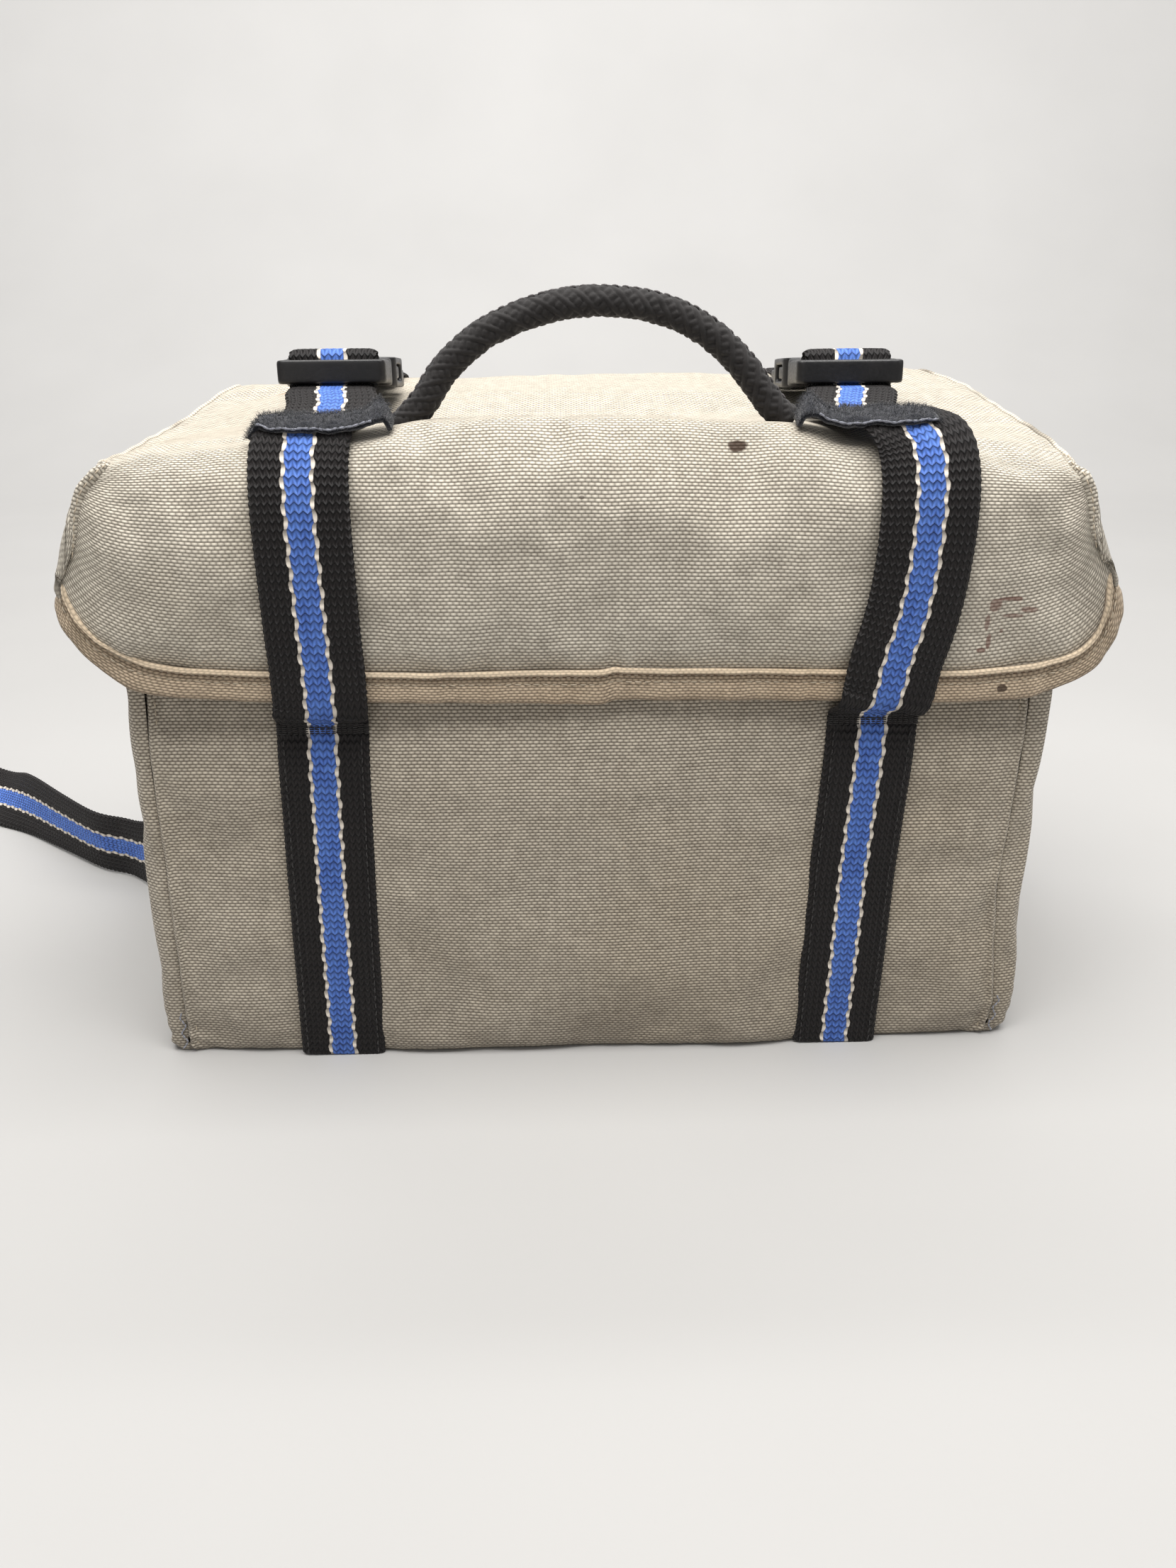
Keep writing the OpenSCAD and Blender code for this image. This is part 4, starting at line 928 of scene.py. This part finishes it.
# stitched seam allowance that stands out at the lid's front corners and along its side edges
def ear(s):
    col = 0 if s < 0 else -1
    E = P[:, col]
    a, b = nt - 14, nt + 27
    E = E[a:b]
    E, q = resample(E, 0.8)
    T = unit(np.gradient(E, axis=0))
    o = unit(np.stack([s * np.ones(len(E)) * 0.8, -0.75 * np.clip((-60 - E[:, 1]) / 25, 0, 1), 0.35 * np.clip((E[:, 2] - 205) / 20, 0, 1)], -1))
    o = unit(o - T * (o * T).sum(1, keepdims=True))
    B = np.cross(T, o)
    k = np.sin(np.pi * np.linspace(0, 1, len(E))) ** 0.45
    ht = (2.5 + 0.4 * lattice(q, q * 0, 5, 5, 90)) * k
    pr = np.array([(-0.6, -0.9), (0.35, -0.95), (0.8, -0.85), (1.0, -0.35), (1.0, 0.35), (0.8, 0.85), (0.35, 0.95), (-0.6, 0.9)])
    prof = np.stack([pr[None, :, 0] * ht[:, None], pr[None, :, 1] * (0.72 + 0 * ht[:, None])], -1)
    body = sweep("ear", E, o, B, prof, lid_fabric_painted_lit, np.array([0, 1, 2, 3, 4, 5, 6, 7.0]), q)
    st = [stitches("ear_stitch", E + o * (ht * 0.45)[:, None] + B * 0.74 * g, B * g, 3.0, 2.1, 0.24, thread_tan, 0.0, 11) for g in (-1, 1)]
    return join("left_corner_seam" if s < 0 else "right_corner_seam", [body] + st)


ears = [ear(-1), ear(1)]
ride("lid", *ears)

# hem tape: inner line, outer line, outward direction
def hem():
    I = [(-166.3, 90, 197.3), (-166.4, 50, 197.2), (-166.6, 0, 197), (-167, -55, 196.8), (-167.9, -73, 196), (-169.6, -84.5, 193), (-170.9, -90.2, 187),
         (-169.8, -91.3, 181.1), (-165.0, -90.9, 171.7), (-160.6, -90.6, 167.6), (-151.9, -90.3, 162.5), (-144.5, -90.0, 160.2), (-134.5, -89.8, 158.5), (-110.8, -89.7, 156.9), (-80, -89.6, 156.1), (-54.8, -89.6, 155.4), (-20, -89.6, 155.6),
         (3, -89.7, 155.4), (10, -89.2, 156.3), (17, -89.7, 155.8), (55, -89.6, 155.1), (90, -89.6, 154.1), (124.8, -89.6, 153.0), (141.1, -89.7, 153.8), (154, -89.8, 155.1), (163.7, -90.0, 157.4), (169.9, -90.3, 160.5), (174.6, -90.7, 166.7), (176.1, -91.0, 174.5),
         (176, -90.8, 181), (175.2, -89.6, 187), (173.6, -84, 192.4), (171.9, -73, 196), (170.2, -55, 196.8), (167.8, 0, 197), (166.8, 50, 197.2), (166.3, 90, 197.3)]
    O = [(-167, 90, 186.6), (-167.2, 50, 186.4), (-167.6, 0, 186.2), (-168.2, -55, 186.2), (-170, -73, 185.8), (-173, -83, 185), (-175.2, -87.6, 182.5),
         (-175.4, -89.2, 178.0), (-172.4, -89.6, 169.4), (-167.4, -89.4, 161.8), (-159.2, -89.2, 153.9), (-152.3, -89.0, 150.6), (-140, -88.8, 148.4), (-110.5, -88.7, 146.1), (-80, -88.6, 145.4), (-55.4, -88.6, 144.8), (-20, -88.6, 144.0),
         (3, -88.5, 143.2), (10, -88.0, 144.6), (17, -88.7, 144.5), (55, -88.6, 144.0), (90, -88.6, 143.0), (125.9, -88.6, 141.8), (143, -88.7, 142.3), (154.3, -88.8, 143.1), (162.8, -88.9, 146), (171.4, -89.1, 150), (177.2, -89.3, 154.9), (180.4, -89.5, 162),
         (182.4, -89.4, 170.5), (182.0, -88, 178.4), (178.6, -83, 183.6), (174.6, -72, 185.4), (171.8, -55, 186), (169.2, 0, 186.2), (167.9, 50, 186.4), (167.1, 90, 186.6)]
    D = []
    for p in I:
        x, y, z = p
        if y > -60:
            D.append((np.sign(x), 0, 0))
        elif y > -80:
            D.append((np.sign(x), -0.35, 0.1))
        elif y > -87:
            D.append((np.sign(x), -1.0, 0.1))
        elif abs(x) > 168 and z > 170:
            D.append((np.sign(x) * (0.55 if z > 180 else 0.25), -1, 0.0))
        else:
            D.append((0, -1, 0))
    Q = cat(np.concatenate([np.array(I), np.array(O), unit(np.array(D, float))], 1), 14)
    Q, q = resample(Q, 1.15)
    I, O, D = Q[:, :3], Q[:, 3:6], unit(Q[:, 6:])
    pr = [(-0.02, -0.6), (-0.03, 0.7), (0.015, 1.8), (0.07, 2.3), (0.125, 1.9), (0.155, 0.8), (0.19, 0.35), (0.26, 0.8), (0.36, 1.45), (0.385, 1.15), (0.41, 1.45), (0.5, 1.7), (0.62, 1.9), (0.76, 2.05), (0.88, 2.1),
          (0.96, 1.75), (1.0, 1.0), (1.01, 0.0), (0.97, -1.1), (0.85, -1.5), (0.5, -1.4), (0.15, -1.2)]
    pr = np.array(pr)
    wob = 0.22 * lattice(q, q * 0, 7, 7, 101)[:, None] + 0.16 * lattice(q, q * 0, 3.1, 3, 102)[:, None]
    pucker = 0.16 * np.sin(2 * np.pi * q / 3.2)[:, None] * np.exp(-((pr[None, :, 0] - 0.385) / 0.1) ** 2)
    G = I[:, None] + (O - I)[:, None] * (pr[None, :, :1] + (0.02 * wob * (pr[None, :, 0] > 0.5))[..., None])
    G = G + D[:, None] * (pr[None, :, 1] + np.where(pr[None, :, 1] > 0.3, wob, 0) + pucker)[..., None]
    k = len(pr)
    n = len(G)
    F = [list(x) for x in grid_faces(n, k, 0, False, True)] + [list(range(k))[::-1], [(n - 1) * k + i for i in range(k)]]
    UV = np.stack(np.broadcast_arrays(q[:, None], pr[None, :, 0] * 11.5 + (pr[None, :, 1] < 0) * 3.0), -1)
    o = build("hem_tape", G.reshape(-1, 3), F, UV.reshape(-1, 2), hem_fabric)
    line = I + (O - I) * 0.385 + D * 1.28
    st = stitches("hem_stitch", line, D, 3.2, 2.4, 0.27, thread_tan, 0.0, 15)
    line2 = I + (O - I) * 0.175 + D * 0.95
    st2 = stitches("hem_top_stitch", line2, D, 2.6, 1.5, 0.2, thread_tan, 0.0, 16)
    return o, join("hem_thread", [st, st2])


hem_o, hem_t = hem()
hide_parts("lid_binding")
ride("lid", hem_o, hem_t)

# padded inner face of the lid and of the flap
def pad(name, X, Y, W, t, flip, *nodes, mat=lining_fabric):
    P = np.stack([X, Y, W], -1)
    o = cloth(name, P, uvs(P, 1500), t, mat, flip=flip)
    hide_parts(*nodes)
    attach(o, "lid")
    return o


gx, gy = np.meshgrid(np.linspace(-1, 1, 90), np.linspace(-1, 1, 60))
rr = np.clip(1 - np.maximum(np.abs(gx), np.abs(gy)) ** 8, 0, 1)
pad("lid_inner_pad", gx * 149, 6 + gy * 79, 221.9 - 0.5 * rr ** 0.5 + 0.1 * lattice(gx * 155, gy * 84, 40, 35, 120) * rr, 0.9, True, "lid_board", "lid_padding", "lid_lining")
gx, gz = np.meshgrid(np.linspace(-1, 1, 90), np.linspace(0, 1, 30))
rr = np.clip(1 - np.maximum(np.abs(gx), np.abs(2 * gz - 1)) ** 8, 0, 1)
pad("flap_inner_pad", gx * 152, -85.6 + 0.8 * rr ** 0.5 + 0 * gx, 162 + gz * 50, 1.3, True, "flap_foam")

# cloth hinge along the back
gx, gv = np.meshgrid(np.linspace(-150, 150, 120), np.linspace(0, 1, 26))
hz_ = 206 + gv * 29
hy = 93.0 + 0.35 * np.sin(np.pi * gv) + 0.25 * lattice(gx, hz_, 22, 12, 130)
Ph = np.stack([gx, hy, hz_], -1)
hinge = cloth("hinge_cloth", Ph, uvs(Ph, 2000), 0.8, fabric, flip=True)
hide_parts("hinge_strip")
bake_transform(hinge)

# ------------------------------------------------------------------ closure straps
LEFT = [(-92.4, 139.4, 0), (-91.8, 141, 1), (-91.3, 143, 2), (-91.1, 147, 3), (-91, 158, 4), (-91.3, 170, 5), (-91.4, 182, 6), (-91.5, 196, 7), (-91.6, 208, 8), (-91.6, 216.4, 9), (-91.6, 223.2, 10), (-91.4, 229.2, 11), (-91, 233.8, 12)]
UP_Y = [-88.2, -91.6, -92.6, -93.1, -93.5, -93.9, -94.1, -94.2, -93.8, -92.6, -90.4, -87.0, -82.0]
RDX = [0, 0.9, 1.8, 2.8, 4.4, 7.4, 9.4, 10.6, 11, 11, 10.6, 9.6, 7.0]
TAIL = [(-64.6, 236.6), (-56, 235.9), (-46, 236.9), (-36, 240.1), (-27, 242.2), (-19.3, 242.8), (-15.9, 243.8), (-14.1, 247.2),
        (-13.9, 251.7), (-12.7, 254.4), (-10.9, 255.5), (-8.7, 255.4), (-6.9, 253.7), (-6.3, 250.3), (-6.6, 243.8)]
TAILX = [0.4, 0.0, -0.2, -0.2, 0, 0, 0, 0, 0, 0, 0, 0, 0, 0, 0]


def closure(s):
    name = "left" if s < 0 else "right"
    rise = 1.4 if s < 0 else -0.4
    zs = np.concatenate([[0.6, 3], np.linspace(8, 134, 16), [137.2]])
    xs = STX[s](zs)
    low = np.stack([xs, y_front(xs, zs) - 1.25, zs], 1)
    up = []
    for i, (x, z, _) in enumerate(LEFT):
        xx = x if s < 0 else 101.4 + RDX[i]
        up.append((xx, UP_Y[i], z))
    up += [(-90.6, -75.5, 236.4), (-90.2, -72, 236.9)] if s < 0 else [(104.5, -75.5, 236.4), (101.8, -72, 236.9)]
    # two lengths of webbing meet at the bar tack: the upper one lies on the lower
    a = cat(low, 6)
    b = cat(np.concatenate([low[-1:] + [0, -0.5, 0.6], up]), 8)
    q, _ = resample(np.concatenate([a, b]), 1.5)
    for _ in range(2):
        q[1:-1] = 0.25 * q[:-2] + 0.5 * q[1:-1] + 0.25 * q[2:]
    o1, L = strap(name + "_front_webbing", q, (1, 0, 0), w=32.4)
    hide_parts(name + "_lower_strap", name + "_upper_strap")
    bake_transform(o1)
    xe = q[-1]
    tx = [(-91 + d) if s < 0 else 101 + d for d in TAILX]
    if s > 0:
        tx = [97.7, 94.6, 95.0, 97.6, 100.2, 100.8] + tx[6:]
    else:
        tx = [-90, -88.6, -88.2, -88.4, -90.4, -91] + tx[6:]
    tl = [(tx[i], y, z + rise * min(max((i - 1) / 4, 0), 1)) for i, (y, z) in enumerate(TAIL)]
    # the crest under the band, then on to the buckle
    c = cat([tuple(xe), ((xe[0] + tl[0][0]) / 2, -68.5, 236.9)] + tl[:3], 10)
    # cut at y = -50
    cut = np.argmin(np.abs(c[:, 1] + 50))
    o2, L2 = strap(name + "_crest_webbing", c[:cut + 1], (1, 0, 0), v0=L)
    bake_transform(o2)
    d = np.concatenate([c[cut:], cat(tl[2:], 8)[1:]])
    o3, L3 = strap(name + "_buckle_webbing", d, (1, 0, 0), v0=L + L2, step=0.5)
    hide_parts(name + "_tail_strap")
    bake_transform(o3)
    # bar tack
    k = low[-1]
    rows = []
    for j in range(5):
        t = np.linspace(-15.2, 15.2, 18)
        rows.append(stitches("tack", np.stack([k[0] + t, np.full(18, k[1] - 1.25), np.full(18, 133.4 + j * 0.75) + 0.1 * np.sin(t * 2)], 1), (0, -1, 0), 1.9, 2.1, 0.30, thread_black, 0.05, 20 + j))
    tack = join(name + "_bar_tack", rows)
    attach(tack, "case")
    # edge stitching up the lower strap
    ed = []
    for e in (-1, 1):
        zz_ = np.linspace(2, 130, 60)
        xx = STX[s](zz_) + e * 13.6
        ed.append(stitches("edge", np.stack([xx, y_front(STX[s](zz_), zz_) - 2.35, zz_], 1), (0, -1, 0), 3.4, 2.3, 0.24, thread_black, 0.05, 30))
    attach(join(name + "_edge_thread", ed), "case")
    # webbing from the socket over the back edge, and down the back
    x = -91 if s < 0 else 101
    h = rise
    r = cat([(x, 31.7, 243.3 + h), (x, 31.8, 247.8 + h), (x, 33.5, 249.8 + h), (x, 37, 249.8 + h), (x, 40.5, 248.2 + h / 2), (x, 45, 245.6), (x, 54, 244.6), (x, 66, 245.1),
             (x, 78, 245.2), (x, 87, 243.6), (x, 92.6, 239.6), (x, 94.5, 234), (x, 94.6, 223.2), (x, 94.3, 212), (x, 94.2, 204)], 8)
    r4, _ = strap(name + "_rear_webbing", r, (-1, 0, 0))
    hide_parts(name + "_lid_strap")
    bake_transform(r4)
    zb_ = np.linspace(206, 1.0, 40)
    r5, _ = strap(name + "_back_webbing", np.stack([np.full(40, x), np.full(40, 93.9) + 0.2 * np.sin(zb_ / 30), zb_], 1), (-1, 0, 0), w=32.2, step=0.9)
    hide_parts(name + "_back_strap")
    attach(r5, "case")


closure(-1)
closure(1)


def anchor(s):
    name = "left" if s < 0 else "right"
    w = lambda z: s * (np.minimum(np.abs(lk(z, XL if s < 0 else XR)), 163.0) + 0.6)
    zs = np.linspace(113, 149, 14)
    inner = [(w(z) + s * 1.3, 10, z) for z in zs]
    top = [(w(149) + s * 2.4, 10, 151), (w(149) + s * 4.6, 10, 149.6)]
    outer = [(w(z) + s * 5.4 - s * 1.4 * max(0, (122 - z) / 9), 10, z) for z in np.linspace(146.5, 113, 10)]
    o, _ = strap(name + "_anchor_webbing", cat(inner + top + outer, 6), (0, s * 1.0, 0), w=32)
    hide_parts(name + "_strap_anchor")
    L = []
    for a, b in (((-12, 117), (12, 117)), ((12, 117), (12, 139)), ((12, 139), (-12, 139)), ((-12, 139), (-12, 117)), ((-12, 117), (12, 139)), ((12, 117), (-12, 139))):
        t = np.linspace(0, 1, 12)
        z = a[1] + (b[1] - a[1]) * t
        L.append(stitches("box", np.stack([[w(v) + s * 6.5 for v in z], 10 + a[0] + (b[0] - a[0]) * t, z], 1), (s, 0, 0), 2.4, 1.8, 0.3, thread_black, 0.0, 41))
    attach(join(name + "_anchor_thread", L), "case")
    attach(o, "case")


anchor(-1)
anchor(1)


# ------------------------------------------------------------------ bands
def band(s):
    """fuzzy strip across the strap at the lid's front edge, leaf-shaped, with a tunnel for the handle on its inner side"""
    name = "left" if s < 0 else "right"
    x0, x1 = (-109.0, -62.0) if s < 0 else (119.5, 70.0)
    n, m = 70, 34
    u = np.linspace(0, 1, n)[None, :]
    v = np.linspace(0, 1, m)[:, None]
    half = 9.6 * np.clip(np.sin(np.pi * np.clip(u * 0.80 + 0.075, 0, 1)) ** 0.55, 0.05, 1) - 2.0 * u ** 3
    x = x0 + (x1 - x0) * u + 0 * v
    yc = -76.6 + 1.2 * np.sin(np.pi * u)
    y = yc + (v - 0.5) * 2 * half
    base = np.interp(y, [-90, -86, -82, -76, -70, -64, -58], [230.6, 233.6, 236.0, 237.8, 238.4, 237.9, 237.2])
    outer = np.clip((u - 0.0) / 0.10, 0, 1)
    arch = 4.6 * np.exp(-((u - 0.90) / 0.085) ** 2) * np.exp(-((y + 66) / 15) ** 2)
    z = base + 1.1 - 4.6 * (1 - outer) ** 1.5 + arch - 3.4 * np.clip((u - 0.95) / 0.05, 0, 1) ** 2
    z = z + 0.35 * lattice(x, y, 5, 5, 140 + s) + 0.2 * lattice(x, y, 2.2, 2.2, 141)
    P = np.stack([x, y, z], -1)
    flip = s > 0
    o = cloth(name + "_band_strip", P, np.stack([x, y], -1), 1.5, fuzz, flip=flip)
    # cut pile standing off the strip
    rng = np.random.default_rng(150 + s)
    Nn = normals(P) * (1 if not flip else -1)
    N = Nn * np.sign((Nn[..., 2:3].mean()))
    k = 3600
    i = rng.integers(0, m - 1, k)
    j = rng.integers(0, n - 1, k)
    edge = rng.random(k) < 0.35
    i = np.where(edge, rng.choice([0, m - 1], k), i)
    p = P[i, j] + rng.normal(0, 0.25, (k, 3))
    nn = unit(N[i, j] + rng.normal(0, 0.55, (k, 3)) + np.where(edge, np.where(i == 0, -1, 1), 0)[:, None] * np.array([0, 0.6, 0]))
    ln = rng.uniform(0.7, 1.9, k)[:, None]
    side = unit(np.cross(nn, rng.normal(0, 1, (k, 3)))) * 0.055
    side2 = np.cross(nn, side)
    tip = p + nn * ln + rng.normal(0, 0.3, (k, 3))
    mid_ = p + nn * ln * 0.5 + rng.normal(0, 0.12, (k, 3))
    V = np.stack([p + side, p - side * 0.5 + side2, p - side * 0.5 - side2, mid_ + side, mid_ - side * 0.5 + side2, mid_ - side * 0.5 - side2, tip], 1)
    F = []
    for a in range(k):
        b = a * 7
        F += [(b, b + 1, b + 4, b + 3), (b + 1, b + 2, b + 5, b + 4), (b + 2, b, b + 3, b + 5), (b + 3, b + 4, b + 6), (b + 4, b + 5, b + 6), (b + 5, b + 3, b + 6)]
    pile = build(name + "_band_pile", V.reshape(-1, 3), F, None, fuzz)
    # pale selvage on the front edge
    line = P[0, 6:-9] + N[0, 6:-9] * 0.25 + np.array([0, -0.35, 0])
    ang = np.linspace(0, 2 * np.pi, 8, endpoint=False)
    T = unit(np.gradient(line, axis=0))
    nrm = unit(N[0, 6:-9])
    B = unit(np.cross(T, nrm))
    rr = 0.36 + 0.10 * np.sin(np.arange(len(line)) * 1.9)
    prof = np.stack([np.cos(ang)[None] * rr[:, None], np.sin(ang)[None] * rr[:, None]], -1)
    sel = sweep(name + "_band_selvage", line, nrm, B, prof, thread_pale, ang, np.arange(len(line)) * 1.0)
    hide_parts(name + "_handle_band")
    for q in (o, pile, sel):
        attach(q, "strap_set")


band(-1)
band(1)

# ------------------------------------------------------------------ handle: rolled and braided webbing
HK = [(-62, 233.5), (-57.5, 237.5), (-51.6, 243.8), (-46.5, 251.0), (-38.7, 258.5), (-29.2, 264.7), (-17, 269.6), (-4.5, 272.4), (7.7, 273), (20.9, 271.6),
      (32, 268.3), (41.5, 263.3), (49.3, 257), (55.2, 250.8), (60.3, 244.3), (65.5, 238.2), (70.5, 235)]
hc, hs = resample(cat([(x, -66, z) for x, z in HK], 10), 0.42)
T = unit(np.gradient(hc, axis=0))
Bn = np.repeat(np.array([[0, 1.0, 0]]), len(hc), 0)
An = np.cross(Bn, T)
th_ = np.linspace(0, 2 * np.pi, 56, endpoint=False)
ss = hs[:, None]
a1 = np.sin(4 * th_[None] + ss * 2 * np.pi / 6.4)
a2 = np.sin(4 * th_[None] - ss * 2 * np.pi / 6.4)
strand = np.maximum(np.abs(a1) ** 0.5 * (a2 > 0), np.abs(a2) ** 0.5 * (a2 <= 0))
rad = 3.95 + 0.72 * strand + 0.16 * lattice(ss + 0 * th_[None], th_[None] * 6 + 0 * ss, 3, 3, 160)
rad = rad * (1 + 0.05 * np.cos(2 * th_[None]))
prof = np.stack([np.cos(th_)[None] * rad, np.sin(th_)[None] * rad], -1)
handle_mat = thread_mat("braided_handle", (0.020, 0.0175, 0.017))
grip = sweep("handle_roll", hc, An, Bn, prof, handle_mat, th_ * 4, hs)
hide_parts("handle_grip")
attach(grip, "handle")
# the roll's seam, on its underside
seam_line = hc[20:-20] - An[20:-20] * 4.5 + np.array([0, -1.2, 0])
seam_o = stitches("handle_seam", seam_line, -An[20:-20], 3.4, 2.6, 0.42, thread_mat("grey_thread", (0.11, 0.10, 0.10)), 0.05, 7)
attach(seam_o, "handle")


# ------------------------------------------------------------------ buckles: rounded mouldings of the same shape
def moulded(name, body, node, voxel=0.42, rounds=14):
    src = bpy.data.objects[node]
    me = src.data.copy()
    o = bpy.data.objects.new(name, me)
    bpy.context.scene.collection.objects.link(o)
    me.transform(src.matrix_world)
    me.materials.clear()
    for other in bpy.context.selected_objects:
        other.select_set(False)
    bpy.context.view_layer.objects.active = o
    o.select_set(True)
    r = o.modifiers.new("r", "REMESH")
    r.mode, r.voxel_size = "VOXEL", voxel * MM
    bpy.ops.object.modifier_apply(modifier="r")
    sm = o.modifiers.new("s", "SMOOTH")
    sm.factor, sm.iterations = 0.5, rounds
    bpy.ops.object.modifier_apply(modifier="s")
    me = o.data
    me.materials.append(plastic)
    me.polygons.foreach_set("use_smooth", [True] * len(me.polygons))
    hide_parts(node)
    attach(o, body)
    return o


for s in ("left", "right"):
    moulded(s + "_plug_moulding", s + "_plug", s + "_buckle_plug", 0.42, 34)
    moulded(s + "_prong_moulding", s + "_plug", s + "_buckle_prongs")
    moulded(s + "_socket_moulding", "lid", s + "_buckle_socket")
moulded("slider_moulding", "case", "strap_slider", 0.5)

# ------------------------------------------------------------------ floor
def floor_mat():
    g = Nodes("pale_floor")
    ob = g.obj()
    c = g.mix(g.noise(ob, 3, 3), (0.40, 0.395, 0.387), (0.45, 0.445, 0.437))
    return g.finish(c, 0.7, g.bump(g.noise(ob, 400, 3), 0.0001, 0.3), spec=0.3)


ys = [-3000, 1400] + [1400 + 1200 * math.sin(t) for t in np.linspace(0.05, math.pi / 2, 24)] + [2600]
zs = [0, 0] + [1200 * (1 - math.cos(t)) for t in np.linspace(0.05, math.pi / 2, 24)] + [3600]
P = np.array([[(x, y, z) for x in (-4000, 4000)] for y, z in zip(ys, zs)], float)
fl = build("floor", P.reshape(-1, 3), grid_faces(len(ys), 2), None, floor_mat())
